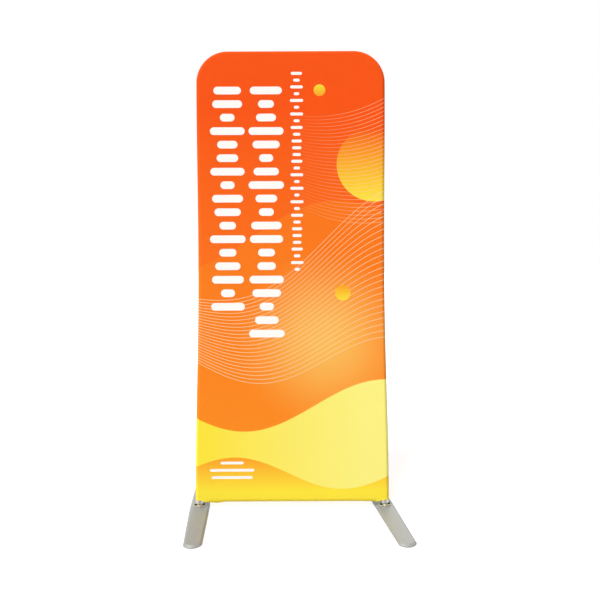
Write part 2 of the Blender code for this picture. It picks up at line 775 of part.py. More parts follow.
def ear_outline(inset):
    """The flange's outline: a disc round the boss and an ear round each screw, joined by tangents."""
    disc = FLANGE_RADIUS - inset
    ear = EAR_RADIUS - inset
    offset = EAR_SPACING / 2
    tangent = math.acos((disc - ear) / offset)
    points = []
    for centre, radius, start, stop, steps in (
        (offset, ear, -tangent, tangent, 8),
        (0, disc, tangent, math.pi - tangent, 6),
        (-offset, ear, math.pi - tangent, math.pi + tangent, 8),
        (0, disc, math.pi + tangent, 2 * math.pi - tangent, 6),
    ):
        for i in range(steps + 1):
            turn = start + (stop - start) * i / steps
            points.append((centre + radius * math.cos(turn), radius * math.sin(turn)))
    return points


def foot_hub():
    """An eared flange with the boss that carries the upright and the pin that it turns on."""
    levels = [(0, FLANGE_BOTTOM), (0, FLANGE_TOP - FLANGE_CHAMFER), (FLANGE_CHAMFER, FLANGE_TOP)]
    rings = [[flat_on_floor(x, y, z) for x, y in ear_outline(inset)] for inset, z in levels]
    flange = stacked("flange", rings)
    inside = FLANGE_BOTTOM + FLANGE_THICKNESS / 2
    post = turned(
        "post",
        [
            (0, inside),
            (BOSS_RADIUS, inside),
            (BOSS_RADIUS, BOSS_TOP),
            (PIN_RADIUS, BOSS_TOP),
            (PIN_RADIUS, BOSS_TOP + PIN_LENGTH - PIN_CHAMFER),
            (PIN_RADIUS - PIN_CHAMFER, BOSS_TOP + PIN_LENGTH),
            (0, BOSS_TOP + PIN_LENGTH),
        ],
        TUBE_SIDES,
    )
    changes = [("UNION", post)]
    shank = SCREW_RADIUS + CLEARANCE
    head = SCREW_HEAD_RADIUS + CLEARANCE
    profile = [(0, 0), (shank, 0), (shank, screw_seat_z()), (head, screw_seat_z())]
    profile += [(head, BOSS_TOP), (0, BOSS_TOP)]
    for side in (-1, 1):
        spot = Matrix.Translation((side * EAR_SPACING / 2, 0, 0))
        changes.append(("DIFFERENCE", placed_copy(turned("counterbore", profile), spot)))
    return combined("foot_hub", flange, changes)


def hub_screw():
    """A socket cap screw that holds the hub down on the plate."""
    seat = screw_seat_z() + CLEARANCE
    top = seat + SCREW_HEAD_HEIGHT
    body = turned(
        "screw",
        [
            (0, seat - SCREW_LENGTH),
            (SCREW_RADIUS, seat - SCREW_LENGTH),
            (SCREW_RADIUS, seat),
            (SCREW_HEAD_RADIUS, seat),
            (SCREW_HEAD_RADIUS, top - CLEARANCE),
            (SCREW_HEAD_RADIUS - CLEARANCE, top),
            (0, top),
        ],
    )
    depth = top - SOCKET_DEPTH
    key = [(0, depth), (SOCKET_RADIUS, depth), (SOCKET_RADIUS, top + SOCKET_DEPTH), (0, top + SOCKET_DEPTH)]
    return combined("hub_screw", body, [("DIFFERENCE", turned("hex_key", key, 6))])


def upright_bush():
    """The collared bush in an upright's foot, which turns on the hub's pin."""
    bore = PIN_RADIUS + CLEARANCE
    return turned(
        "upright_bush",
        [
            (bore, COLLAR_BOTTOM),
            (TUBE_RADIUS, COLLAR_BOTTOM),
            (TUBE_RADIUS, COLLAR_BOTTOM + COLLAR_THICKNESS),
            (SPIGOT_RADIUS, COLLAR_BOTTOM + COLLAR_THICKNESS),
            (SPIGOT_RADIUS, COLLAR_BOTTOM + COLLAR_THICKNESS + BUSH_LENGTH),
            (bore, COLLAR_BOTTOM + COLLAR_THICKNESS + BUSH_LENGTH),
        ],
        TUBE_SIDES,
    )


def foot_reach(turn):
    """How far a turned foot reaches to each side of its pivot."""
    angle = math.radians(turn)
    return max(x * math.cos(angle) - y * math.sin(angle) for x, y in foot_outline(0))


# Assembly
def build_frame(stand):
    aluminium = finish("anodised_aluminium", (0.62, 0.63, 0.62), 1.0, 0.35)
    sleeve = finish("mill_aluminium", (0.55, 0.56, 0.57), 1.0, 0.45)
    nylon = finish("grey_nylon", (0.30, 0.30, 0.30), 0.0, 0.5)
    steel = finish("zinc_plated_steel", (0.60, 0.60, 0.58), 1.0, 0.3)
    for side, word in ((-1, "left"), (1, "right")):
        add(f"lower_upright_{word}", lower_upright(side), aluminium, stand)
        add(f"upper_upright_{word}", upper_upright(side), aluminium, stand)
        add(f"top_bow_{word}", top_bow(side), aluminium, stand)
        add(f"lower_spigot_{word}", upright_spigot(side, LOWER_JOINT_Z), sleeve, stand)
        add(f"upper_spigot_{word}", upright_spigot(side, UPPER_JOINT_Z), sleeve, stand)
        place = Matrix.Translation((side * upright_x(UPRIGHT_FOOT), 0, 0))
        add(f"upright_bush_{word}", upright_bush(), nylon, stand, place)
    add("bottom_crossbar", bottom_crossbar(), aluminium, stand)
    add("top_spigot", top_spigot(), sleeve, stand)
    build_snap_joints(stand, steel)


def build_snap_joints(stand, steel):
    """Every snap button with its spring, and the rivet that holds each spigot."""
    button, spring, rivet = snap_button(), snap_spring(), snap_rivet()
    up = Vector((0, 0, 1))
    seats = [("top", Vector((BUTTON_FROM_JOINT, 0, TOP_TUBE_Z)), -up, Vector((-1, 0, 0)))]
    rivets = [("top", Vector((-RIVET_FROM_JOINT, 0, TOP_TUBE_Z)), -up)]
    for side, word in ((-1, "left"), (1, "right")):
        for level, joint_z in (("lower", LOWER_JOINT_Z), ("upper", UPPER_JOINT_Z)):
            seats.append((f"{level}_{word}", *joint_seat(side, joint_z, -BUTTON_FROM_JOINT), up))
            rivets.append((f"{level}_{word}", *joint_seat(side, joint_z, RIVET_FROM_JOINT)))
        seats.append((f"crossbar_{word}", *crossbar_button_seat(side), Vector((side, 0, 0))))
    for name, point, outward, along in seats:
        place = joint_frame(point, outward, along)
        add(f"snap_button_{name}", button, steel, stand, place)
        add(f"snap_spring_{name}", spring, steel, stand, place)
    for name, point, outward in rivets:
        along = Vector((1, 0, 0)) if name == "top" else up
        add(f"spigot_rivet_{name}", rivet, steel, stand, joint_frame(point, outward, along))


def build_cover(stand):
    print_cloth = finish("printed_polyester", (0.95, 0.45, 0.08), 0.0, 0.75)
    tape = finish("polyester_zip_tape", (0.75, 0.75, 0.72), 0.0, 0.8)
    metal = finish("nickel_plated_zinc", (0.55, 0.55, 0.53), 1.0, 0.3)
    for face, word in ((-1, "front"), (1, "back")):
        add(f"cover_{word}", cover_panel(f"cover_{word}", face), print_cloth, stand)
        add(f"zip_tape_{word}", zip_tape(f"zip_tape_{word}", face), tape, stand)
    stop = zip_stop()
    for side, word in ((-1, "left"), (1, "right")):
        add(f"zip_stop_{word}", stop, metal, stand, Matrix.Translation((side * stop_x(), 0, 0)))
    slider_place = Matrix.Translation((slider_travel(), 0, PULL_AXIS_Z))
    slider = add("zip_slider", zip_slider(), metal, stand, slider_place)
    add("zip_pull", zip_pull(), metal, slider)


def build_feet(stand):
    powder_coat = finish("silver_powder_coat", (0.56, 0.55, 0.50), 0.6, 0.45)
    cast = finish("satin_zinc_casting", (0.60, 0.59, 0.55), 0.8, 0.35)
    black = finish("black_oxide_steel", (0.03, 0.03, 0.03), 0.8, 0.4)
    rubber = finish("black_rubber", (0.03, 0.03, 0.03), 0.0, 0.8)
    plate, hub, screw, pad = foot_plate(), foot_hub(), hub_screw(), foot_pad()
    for side, word, turn in ((-1, "left", LEFT_FOOT_TURN), (1, "right", RIGHT_FOOT_TURN)):
        pivot = add_empty(f"pivot_{word}", stand, (side * upright_x(UPRIGHT_FOOT), 0, 0), turn)
        add(f"foot_plate_{word}", plate, powder_coat, pivot)
        add(f"foot_hub_{word}", hub, cast, pivot)
        for ear, hand in ((-1, "a"), (1, "b")):
            add(f"hub_screw_{word}_{hand}", screw, black, pivot, Matrix.Translation((ear * EAR_SPACING / 2, 0, 0)))
        for number, y in enumerate(pad_places(), 1):
            add(f"foot_pad_{word}_{number}", pad, rubber, pivot, Matrix.Translation((0, y, 0)))


def main():
    for old in list(bpy.data.objects):
        bpy.data.objects.remove(old)
    centre = (foot_reach(LEFT_FOOT_TURN) - foot_reach(RIGHT_FOOT_TURN)) / 2
    stand = add_empty("stand", location=(centre, 0, 0))
    build_frame(stand)
    build_cover(stand)
    build_feet(stand)


main()
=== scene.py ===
"""Looks of a pillowcase banner stand with a rounded top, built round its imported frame.

Each operator makes one piece, or one group of like pieces, or gives the frame's own pieces their finish.
Metres, +Z up. The printed face looks along -Y.
"""

import math

import bmesh
import bpy
from bpy.props import FloatProperty, FloatVectorProperty, IntProperty, PointerProperty
from bpy.types import Operator, Panel, PropertyGroup
from mathutils import Matrix, Vector


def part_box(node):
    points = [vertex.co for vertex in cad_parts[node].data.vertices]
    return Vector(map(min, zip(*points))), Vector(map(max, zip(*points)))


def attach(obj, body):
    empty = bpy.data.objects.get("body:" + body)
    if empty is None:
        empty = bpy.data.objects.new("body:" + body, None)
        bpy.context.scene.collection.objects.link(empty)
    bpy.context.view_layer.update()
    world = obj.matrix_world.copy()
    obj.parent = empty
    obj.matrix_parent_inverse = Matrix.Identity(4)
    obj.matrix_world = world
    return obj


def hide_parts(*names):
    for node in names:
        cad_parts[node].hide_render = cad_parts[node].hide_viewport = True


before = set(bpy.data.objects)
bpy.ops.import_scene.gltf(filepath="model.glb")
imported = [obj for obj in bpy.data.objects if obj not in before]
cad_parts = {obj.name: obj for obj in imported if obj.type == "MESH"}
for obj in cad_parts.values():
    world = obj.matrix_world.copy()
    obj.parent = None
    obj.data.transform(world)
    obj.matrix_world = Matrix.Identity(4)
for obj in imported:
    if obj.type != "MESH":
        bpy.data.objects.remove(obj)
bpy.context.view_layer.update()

bl_info = {
    "name": "Pillowcase banner stand",
    "version": (1, 0, 0),
    "blender": (4, 5, 0),
    "location": "3D View > Sidebar > Banner",
    "description": "Builds the cover, feet, zip and finishes of a fabric banner stand",
    "category": "Add Mesh",
}

SIDES = ("left", "right")
FACES = {"front": -1, "back": 1}  # the way along Y that each panel looks


def number(name, default, description, **more):
    return FloatProperty(name=name, description=description, default=default, **more)


def size(name, default, description):
    return number(name, default, description, min=0.0, unit="LENGTH", precision=4)


def count(name, default, description):
    return IntProperty(name=name, description=description, default=default, min=4)


def linear(code):
    """A colour written as an sRGB hex value, as the linear values that a shader takes."""
    parts = [int(code[i : i + 2], 16) / 255 for i in (1, 3, 5)]
    return tuple(c / 12.92 if c <= 0.04045 else ((c + 0.055) / 1.055) ** 2.4 for c in parts)


def colour(name, code, description):
    return FloatVectorProperty(
        name=name, description=description, default=linear(code), subtype="COLOR", min=0.0, max=1.0
    )


# What the frame gives
PANEL_LOW, PANEL_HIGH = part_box("cover_front")
COVER_WIDTH = PANEL_HIGH.x - PANEL_LOW.x
MIDDLE_X = (PANEL_LOW.x + PANEL_HIGH.x) / 2
COVER_BOTTOM = PANEL_LOW.z
COVER_TOP = PANEL_HIGH.z
COVER_REACH = -PANEL_LOW.y  # from the stand's middle plane to the face of the cloth
PLATE_LOW, PLATE_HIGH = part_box("foot_plate_left")


def middle_of(node):
    low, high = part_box(node)
    return (low + high) / 2


# Sizes and colours that a user would change
class CoverSizes(PropertyGroup):
    bottom_width: size("Bottom width", COVER_WIDTH, "Width of the cover at its bottom")
    top_width: size("Top width", 0.842, "Width of the cover below its rounded corners")
    corner_radius: size("Corner radius", 0.140, "Outer radius of the top corners")
    waist: size("Waist", 0.0105, "How far the cloth's pull bows each side in at mid height")
    zip_drop: size("Zip drop", 0.002, "Room for the zip between the crossbar and the cover's bottom")
    roll: number("Bottom roll", math.radians(72), "How far the cloth wraps under the bar", unit="ROTATION")
    cloth: size("Cloth", 0.0007, "Thickness of the knitted cloth")
    groove: size("Seam groove", 0.0005, "Depth of the groove that the sewn seam draws in")
    sag: size("Bottom sag", 0.006, "How far the hem hangs down beside the left tube")
    lift: size("Corner lift", 0.010, "How much higher the cover ends at its bottom corners")
    side_rows: count("Side rows", 96, "Rows of faces up a side")
    corner_rows: count("Corner rows", 20, "Rows of faces round a corner")
    columns: count("Columns", 56, "Columns of faces across the flat")


class PrintColours(PropertyGroup):
    high: colour("High orange", "#FA5613", "Red orange at the print's top")
    low: colour("Low orange", "#FD8822", "Orange at the print's foot")
    yellow: colour("Yellow", "#FEE63F", "Strong yellow of the low wave and the discs")
    pale: colour("Pale yellow", "#FCF283", "Pale yellow of the low wave's right side")
    amber: colour("Amber", "#FB9A22", "Amber of the lowest wave")
    line: colour("Line", "#FFD9A8", "Pale hairlines")
    white: colour("White", "#FFFDF8", "White bars")


class FootSizes(PropertyGroup):
    length: size("Foot length", 0.600, "Length of a foot plate")
    width: size("Foot width", 0.0875, "Width of a foot plate at its hub")
    end_width: size("End width", 0.073, "Width of a foot plate at the shoulders of its rounded ends")
    end_depth: size("End depth", 0.020, "How far a rounded end stands beyond its shoulders")
    bevel: size("Bevel", 0.0085, "Width of the bevel round the plate's top")
    bevel_drop: size("Bevel drop", 0.007, "Height of that bevel")
    bevel_bulge: size("Bevel bulge", 0.0002, "How far the bevel's face stands out from flat")
    arris: size("Arris", 0.0012, "Radius of the softened edges")
    flange: size("Flange thickness", 0.006, "Thickness of the hub's eared flange")
    disc_radius: size("Disc radius", 0.016, "Radius of the flange round the boss")
    ear_radius: size("Ear radius", 0.0085, "Radius of the ear round a screw")
    ear_spacing: size("Ear spacing", 0.0375, "Distance between a hub's two screws")
    boss_radius: size("Boss radius", 0.0125, "Radius of the round boss under the upright")
    pin_radius: size("Pin radius", 0.011, "Radius of the pin inside the upright")
    head_radius: size("Screw head", 0.005, "Radius of a cap screw's head")
    head_stands: size("Screw stands", 0.0025, "How far a cap screw's head stands above the flange")
    socket_radius: size("Hexagon socket", 0.00173, "Radius to the corners of the socket in a screw's head")


class Finishes(PropertyGroup):
    plate: colour("Foot plate", "#969794", "Silver powder coat")
    # The faint yellow in the hub's colour is painted reflection of the yellow cover.
    hub: colour("Hub", "#CFC7AE", "Satin cast zinc, faintly yellow from its passivating bath")
    tube: colour("Tube", "#C8C5BA", "Satin anodised aluminium")
    dark: colour("Screw", "#121110", "Black oxide steel")
    rubber: colour("Rubber", "#1E1E1E", "Anti-slip rubber")
    # The nylon's dark grey is partly painted shade: the bush is kept dark so that it stands for the shade
    # line round the hub's boss.
    nylon: colour("Nylon", "#6B6B6B", "Grey moulded nylon")
    zinc: colour("Zinc plate", "#B9B8B2", "Bright zinc plated steel")
    tape: colour("Zip tape", "#D9D8D2", "Undyed woven polyester")
    nickel: colour("Nickel", "#B4B0A8", "Nickel plated zip parts")


class StageSettings(PropertyGroup):
    camera_x: number("Camera across", 0.0335, "Camera's place across", unit="LENGTH")
    camera_y: number("Camera away", -2.15, "Camera's place before the stand", unit="LENGTH")
    camera_z: number("Camera height", 1.1305, "Camera's height", unit="LENGTH")
    lens: number("Lens", 28.83, "Focal length", unit="CAMERA")
    shift: number("Shift", -0.0741, "Upward shift of the picture")
    lean: number("Lean", math.radians(-0.254), "Roll of the camera", unit="ROTATION")
    sky: number("Sky", 0.5, "Strength of the soft light from overhead", min=0)
    horizon: number("Horizon", 0.1, "Strength of the light from all round", min=0)
    sun: number("Sun", 3.45, "Strength of the soft light from the front", min=0)
    rim: number("Rear light", 1.7, "Strength of the soft light from behind", min=0)


class StandSettings(PropertyGroup):
    cover: PointerProperty(type=CoverSizes)
    colours: PointerProperty(type=PrintColours)
    feet: PointerProperty(type=FootSizes)
    finishes: PointerProperty(type=Finishes)
    stage: PointerProperty(type=StageSettings)


def settings():
    return bpy.context.scene.banner_stand


# Nodes
def add_node(tree, kind, inputs=(), **values):
    """Adds a node, with its inputs given in order or by key, each as a value, a socket or another node."""
    node = tree.nodes.new(("ShaderNode" if tree.type == "SHADER" else "") + kind)
    for name, value in values.items():
        setattr(node, name, value)
    pairs = inputs.items() if isinstance(inputs, dict) else enumerate(inputs)
    for key, value in pairs:
        if isinstance(value, bpy.types.Node):
            value = value.outputs[0]
        if isinstance(value, bpy.types.NodeSocket):
            tree.links.new(value, node.inputs[key])
        else:
            node.inputs[key].default_value = value
    return node


def new_material(name, base, roughness, metallic=0.0, **sockets):
    """A Principled material with its plain values. Returns its node tree, its shader and itself."""
    material = bpy.data.materials.new(name)
    material.use_nodes = True
    shader = material.node_tree.nodes["Principled BSDF"]
    shader.inputs["Base Color"].default_value = (*base, 1)
    shader.inputs["Roughness"].default_value = roughness
    shader.inputs["Metallic"].default_value = metallic
    for key, value in sockets.items():
        shader.inputs[key.replace("_", " ")].default_value = value
    return material.node_tree, shader, material


def grain_noise(tree, grain, roughness=0.5):
    """Noise whose grain has the given length in metres, the same every way or one each for X, Y and Z."""
    # Flake, pits, sparking and drawing lines are given coarser than the real ones, so that they show
    lengths = grain if isinstance(grain, tuple) else (grain, grain, grain)
    place = add_node(tree, "TexCoord").outputs["Object"]
    scaled = add_node(tree, "Mapping", {"Vector": place, "Scale": [1 / g for g in lengths]})
    values = {"Vector": scaled, "Scale": 1.0, "Detail": 3.0, "Roughness": roughness}
    return add_node(tree, "TexNoise", values)


def bands(tree, direction, spacing):
    """Soft bands across one axis, at the given spacing in metres."""
    one_band = 2 * math.pi / 20  # how far the wave texture's bands lie apart at a scale of 1
    place = add_node(tree, "TexCoord").outputs["Object"]
    wave = add_node(tree, "TexWave", {"Vector": place, "Scale": one_band / spacing},
                    wave_type="BANDS", bands_direction=direction)
    return wave.outputs["Fac"]


def vary_roughness(tree, shader, noise, low, high):
    """Lets the roughness run from low to high with the noise."""
    spread = add_node(tree, "MapRange", {"Value": noise, "To Min": low, "To Max": high})
    tree.links.new(spread.outputs[0], shader.inputs["Roughness"])


def vary_colour(tree, shader, noise, base, swing):
    """Lets the colour run a little darker and lighter with the noise."""
    dark = [c * (1 - swing) for c in base]
    light = [min(c * (1 + swing), 1) for c in base]
    mixed = add_node(tree, "Mix", {0: noise, 6: (*dark, 1), 7: (*light, 1)}, data_type="RGBA")
    tree.links.new(mixed.outputs[2], shader.inputs["Base Color"])


def raise_surface(tree, shader, height, depth):
    """A bump of the given depth in metres."""
    bump = add_node(tree, "Bump", {"Strength": 1.0, "Distance": depth, "Height": height})
    tree.links.new(bump.outputs[0], shader.inputs["Normal"])


# Finishes of the frame, feet and fastenings
def drawn_finish(name, base, roughness, along):
    """Metal drawn or rolled along one axis: fine lines run that way."""
    tree, shader, material = new_material(name, base, roughness, 1.0)
    grain = tuple(0.08 if axis == along else 0.0006 for axis in "XYZ")
    lines = grain_noise(tree, grain)
    vary_roughness(tree, shader, lines, roughness - 0.06, roughness + 0.10)
    vary_colour(tree, shader, grain_noise(tree, (0.05, 0.05, 0.3)), base, 0.03)
    raise_surface(tree, shader, lines, 0.00001)
    return material


def anodised_aluminium(base):
    """Extruded tube, etched and clear anodised: satin, with faint lines along its length."""
    return drawn_finish("extruded_anodised_aluminium", base, 0.34, "Z")


def anodised_crossbar(base):
    """The same tube lying level, so that its lines run across."""
    return drawn_finish("extruded_anodised_aluminium_level", base, 0.34, "X")


def mill_aluminium(base):
    """Sleeves cut from drawn tube and left bare: a little darker and rougher than the anodised tube."""
    return drawn_finish("drawn_mill_aluminium", [c * 0.9 for c in base], 0.44, "Z")


def powder_coated_steel(base):
    """Silver powder coat on steel plate: fine metal flake in a satin film, with a faint orange peel."""
    tree, shader, material = new_material("silver_powder_coated_steel", base, 0.5, 0.1)
    flake = grain_noise(tree, 0.0009, 0.7)
    cloud = grain_noise(tree, 0.09)
    vary_colour(tree, shader, cloud, base, 0.03)
    vary_roughness(tree, shader, flake, 0.44, 0.56)
    raise_surface(tree, shader, grain_noise(tree, 0.0022), 0.00003)
    return material


def cast_zinc(base):
    """Die-cast zinc, tumbled and passivated: a soft gleam with fine pits, and a faint yellow in its colour
    that is painted reflection of the yellow cover.
    """
    tree, shader, material = new_material("cast_zinc_with_painted_yellow_reflection", base, 0.36, 0.85)
    pits = grain_noise(tree, 0.0012, 0.6)
    vary_colour(tree, shader, grain_noise(tree, 0.012), base, 0.04)
    vary_roughness(tree, shader, pits, 0.28, 0.46)
    raise_surface(tree, shader, pits, 0.00002)
    return material


def black_oxide_steel(base):
    """Forged cap screws with a black oxide skin: near black, with a dull oily gleam."""
    tree, shader, material = new_material("black_oxide_steel", base, 0.6, Specular_IOR_Level=0.2)
    skin = grain_noise(tree, 0.0008, 0.6)
    vary_colour(tree, shader, skin, base, 0.25)
    vary_roughness(tree, shader, skin, 0.52, 0.68)
    raise_surface(tree, shader, skin, 0.00001)
    return material


def moulded_rubber(base):
    """Moulded anti-slip rubber: black and matt, with a grained face."""
    tree, shader, material = new_material("moulded_rubber", base, 0.8, IOR=1.52)
    grain = grain_noise(tree, 0.0008, 0.7)
    vary_colour(tree, shader, grain, base, 0.2)
    vary_roughness(tree, shader, grain, 0.72, 0.9)
    raise_surface(tree, shader, grain, 0.00006)
    return material


def moulded_nylon(base):
    """Injection-moulded nylon: slightly waxy, finely sparked, and a dark mid grey that is partly the bush's
    own colour and partly painted shade, so that the bush reads as the shade line round the hub's boss.
    """
    tree, shader, material = new_material("moulded_nylon", base, 0.48, IOR=1.53, Subsurface_Weight=0.02)
    spark = grain_noise(tree, 0.0006, 0.6)
    vary_colour(tree, shader, grain_noise(tree, 0.006), base, 0.05)
    vary_roughness(tree, shader, spark, 0.42, 0.58)
    raise_surface(tree, shader, spark, 0.00002)
    return material


def bright_metal(name, base, roughness, cloud_grain):
    """Plated steel or zinc, tempered steel or bright aluminium: a shiny skin, a little clouded."""
    tree, shader, material = new_material(name, base, roughness, 1.0)
    cloud = grain_noise(tree, cloud_grain)
    vary_colour(tree, shader, cloud, base, 0.07)
    vary_roughness(tree, shader, cloud, roughness - 0.06, roughness + 0.08)
    raise_surface(tree, shader, grain_noise(tree, 0.0004), 0.000005)
    return material


def woven_tape(base):
    """Woven polyester tape: a close plain weave, its rows drawn at 1 mm where the real ones are 0.4 mm."""
    tree, shader, material = new_material("woven_polyester_tape", base, 0.85, Specular_IOR_Level=0.25)
    rows = bands(tree, "X", 0.001)
    vary_colour(tree, shader, rows, base, 0.08)
    raise_surface(tree, shader, rows, 0.0001)
    return material


# Print
PRINT_EDGE = 0.0015  # width over which one ink turns into the next


def edge_mask(tree, depth):
    """1 where the depth inside a motif is positive, 0 outside it, soft over the print's edge."""
    return add_node(tree, "Math", [depth, 1 / PRINT_EDGE, 0.5], operation="MULTIPLY_ADD", use_clamp=True)


def wave_line(tree, across, base, swing, length, start):
    """The height of a wave at each place across the panel."""
    turn = add_node(tree, "Math", [across, 2 * math.pi / length, start], operation="MULTIPLY_ADD")
    crest = add_node(tree, "Math", [turn], operation="SINE")
    return add_node(tree, "Math", [crest, swing, base], operation="MULTIPLY_ADD")


def below_wave(tree, up, wave):
    depth = add_node(tree, "Math", [wave, up], operation="SUBTRACT")
    return edge_mask(tree, depth)


def distance_to(tree, across, up, centre):
    place = add_node(tree, "CombineXYZ", [across, up])
    return add_node(tree, "VectorMath", [place, (*centre, 0)], operation="DISTANCE").outputs["Value"]


def disc_mask(tree, across, up, centre, radius):
    away = distance_to(tree, across, up, centre)
    return edge_mask(tree, add_node(tree, "Math", [radius, away], operation="SUBTRACT"))


def glow_mask(tree, across, up, centre, radius, strength):
    """A round glow, strongest in its middle and gone at its radius."""
    away = distance_to(tree, across, up, centre)
    fading = {"Value": away, "From Max": radius, "To Min": strength, "To Max": 0.0}
    near = add_node(tree, "MapRange", fading, interpolation_type="SMOOTHSTEP")
    return near.outputs[0]


def between(tree, value, low, high):
    """1 where the value lies between two levels, with hard ends."""
    above = add_node(tree, "Math", [value, low], operation="GREATER_THAN")
    under = add_node(tree, "Math", [value, high], operation="LESS_THAN")
    return add_node(tree, "Math", [above, under], operation="MULTIPLY")


def bar_column(tree, across, up, middle, first, rows, beat, pitch, thickness, mean, swing):
    """A column of level bars with round ends, whose lengths rise and fall from row to row."""
    row = add_node(tree, "Math", [add_node(tree, "Math", [up, pitch], operation="DIVIDE")],
                   operation="FLOOR")
    centre = add_node(tree, "Math", [row, pitch, pitch / 2], operation="MULTIPLY_ADD")
    aside = add_node(tree, "Math", [up, centre], operation="SUBTRACT")
    turn = add_node(tree, "Math", [row, beat], operation="MULTIPLY")
    length = add_node(tree, "Math", [add_node(tree, "Math", [turn], operation="SINE"), swing, mean],
                      operation="MULTIPLY_ADD")
    along = add_node(tree, "Math", [add_node(tree, "Math", [across, middle], operation="SUBTRACT")],
                     operation="ABSOLUTE")
    past = add_node(tree, "Math", [add_node(tree, "Math", [along, length], operation="SUBTRACT"), 0.0],
                    operation="MAXIMUM")
    offset = add_node(tree, "CombineXYZ", [past, aside])
    away = add_node(tree, "VectorMath", [offset], operation="LENGTH").outputs["Value"]
    inside = edge_mask(tree, add_node(tree, "Math", [thickness / 2, away], operation="SUBTRACT"))
    shown = between(tree, row, first - 0.5, first + rows - 0.5)
    return add_node(tree, "Math", [inside, shown], operation="MULTIPLY")


def hairlines(tree, across, up, base, swing, length, start, pitch, thickness, lines):
    """A ribbon of fine lines side by side, all following one wave, wider apart where the ribbon opens."""
    wave = wave_line(tree, across, base, swing, length, start)
    widening = 1.6  # how many pitches wider apart the lines are a metre further across
    opening = add_node(tree, "Math", [across, pitch * widening, pitch], operation="MULTIPLY_ADD")
    rows = add_node(tree, "Math", [add_node(tree, "Math", [up, wave], operation="SUBTRACT"), opening],
                    operation="DIVIDE")
    part = add_node(tree, "Math", [rows], operation="FRACT")
    offset = add_node(tree, "Math", [part, 0.5], operation="SUBTRACT")
    aside = add_node(tree, "Math", [add_node(tree, "Math", [offset], operation="ABSOLUTE"), opening],
                     operation="MULTIPLY")
    inside = edge_mask(tree, add_node(tree, "Math", [thickness / 2, aside], operation="SUBTRACT"))
    return add_node(tree, "Math", [inside, between(tree, rows, 0, lines)], operation="MULTIPLY")


def graded(tree, along, start, stop, first, last):
    """A run of colour from one ink to another between two levels."""
    share = add_node(tree, "MapRange", {"Value": along, "From Min": start, "From Max": stop})
    mixed = add_node(tree, "Mix", {0: share, 6: (*first, 1), 7: (*last, 1)}, data_type="RGBA")
    return mixed.outputs[2]


def high_layers(tree, across, up, ink):
    """What lies over the print's upper part: a veil, a glow, a large disc and two ribbons of hairlines."""
    veil = below_wave(tree, up, wave_line(tree, across, base=1.18, swing=0.16, length=1.5, start=5.2))
    fine_lines = hairlines(tree, across, up, base=1.40, swing=0.17, length=1.9, start=2.2,
                           pitch=0.008, thickness=0.0015, lines=30)
    broad_lines = hairlines(tree, across, up, base=0.62, swing=0.10, length=1.15, start=3.1,
                            pitch=0.012, thickness=0.0022, lines=24)
    growing = {"Value": across, "From Min": 0.42, "From Max": 0.80, "To Max": 0.8}
    rightwards = add_node(tree, "MapRange", growing)
    return [
        (add_node(tree, "Math", [veil, 0.22], operation="MULTIPLY"), ink.amber),
        (glow_mask(tree, across, up, centre=(0.58, 0.72), radius=0.42, strength=0.42), ink.pale),
        (disc_mask(tree, across, up, centre=(0.80, 1.50), radius=0.165),
         graded(tree, up, 1.33, 1.66, ink.yellow, ink.high)),
        (add_node(tree, "Math", [fine_lines, rightwards], operation="MULTIPLY"), ink.line),
        (broad_lines, ink.line),
    ]


def low_layers(tree, across, up, ink):
    """The two low waves, and the two small discs above them."""
    high_wave = wave_line(tree, across, base=0.43, swing=0.115, length=1.25, start=3.6)
    low_wave = wave_line(tree, across, base=0.13, swing=0.07, length=0.95, start=0.4)
    return [
        (below_wave(tree, up, high_wave), graded(tree, across, 0.05, 0.75, ink.yellow, ink.pale)),
        (below_wave(tree, up, low_wave), graded(tree, up, 0.05, 0.24, ink.yellow, ink.low)),
        (disc_mask(tree, across, up, centre=(0.66, 0.93), radius=0.034),
         graded(tree, up, 0.89, 0.97, ink.yellow, ink.amber)),
        (disc_mask(tree, across, up, centre=(0.56, 1.83), radius=0.026),
         graded(tree, up, 1.80, 1.86, ink.amber, ink.yellow)),
    ]


def white_bars(tree, across, up):
    """Two columns of broad bars, a column of fine ones, and three bars low on the left."""
    broad = {"pitch": 0.060, "thickness": 0.034, "mean": 0.038, "swing": 0.024}
    fine = {"pitch": 0.030, "thickness": 0.013, "mean": 0.014, "swing": 0.009}
    low = {"pitch": 0.032, "thickness": 0.012, "mean": 0.075, "swing": 0.030}
    return [
        bar_column(tree, across, up, middle=0.150, first=14, rows=17, beat=2.4, **broad),
        bar_column(tree, across, up, middle=0.322, first=12, rows=19, beat=1.7, **broad),
        bar_column(tree, across, up, middle=0.458, first=34, rows=30, beat=2.9, **fine),
        bar_column(tree, across, up, middle=0.165, first=3, rows=3, beat=2.2, **low),
    ]


def printed_artwork(tree, hand):
    """A plain poster pattern: warm ground, two low waves, ribbons of hairlines, discs and white bars."""
    ink = settings().colours
    where = add_node(tree, "SeparateXYZ", [add_node(tree, "TexCoord").outputs["Object"]])
    left_edge = COVER_WIDTH / 2 - hand * MIDDLE_X
    across = add_node(tree, "Math", [where.outputs["X"], hand, left_edge], operation="MULTIPLY_ADD")
    up = add_node(tree, "Math", [where.outputs["Z"], COVER_BOTTOM], operation="SUBTRACT")
    layers = high_layers(tree, across, up, ink) + low_layers(tree, across, up, ink)
    layers += [(column, ink.white) for column in white_bars(tree, across, up)]
    cloth = graded(tree, up, 0.35, 1.75, ink.low, ink.high)
    for mask, paint in layers:
        paint = paint if isinstance(paint, bpy.types.NodeSocket) else (*paint, 1)
        cloth = add_node(tree, "Mix", {0: mask, 6: cloth, 7: paint}, data_type="RGBA").outputs[2]
    return cloth


WALE = 0.0018  # the knit's columns are about 0.8 mm apart, and drawn wider so that they show up close
COURSE = 0.0015  # its rows, likewise


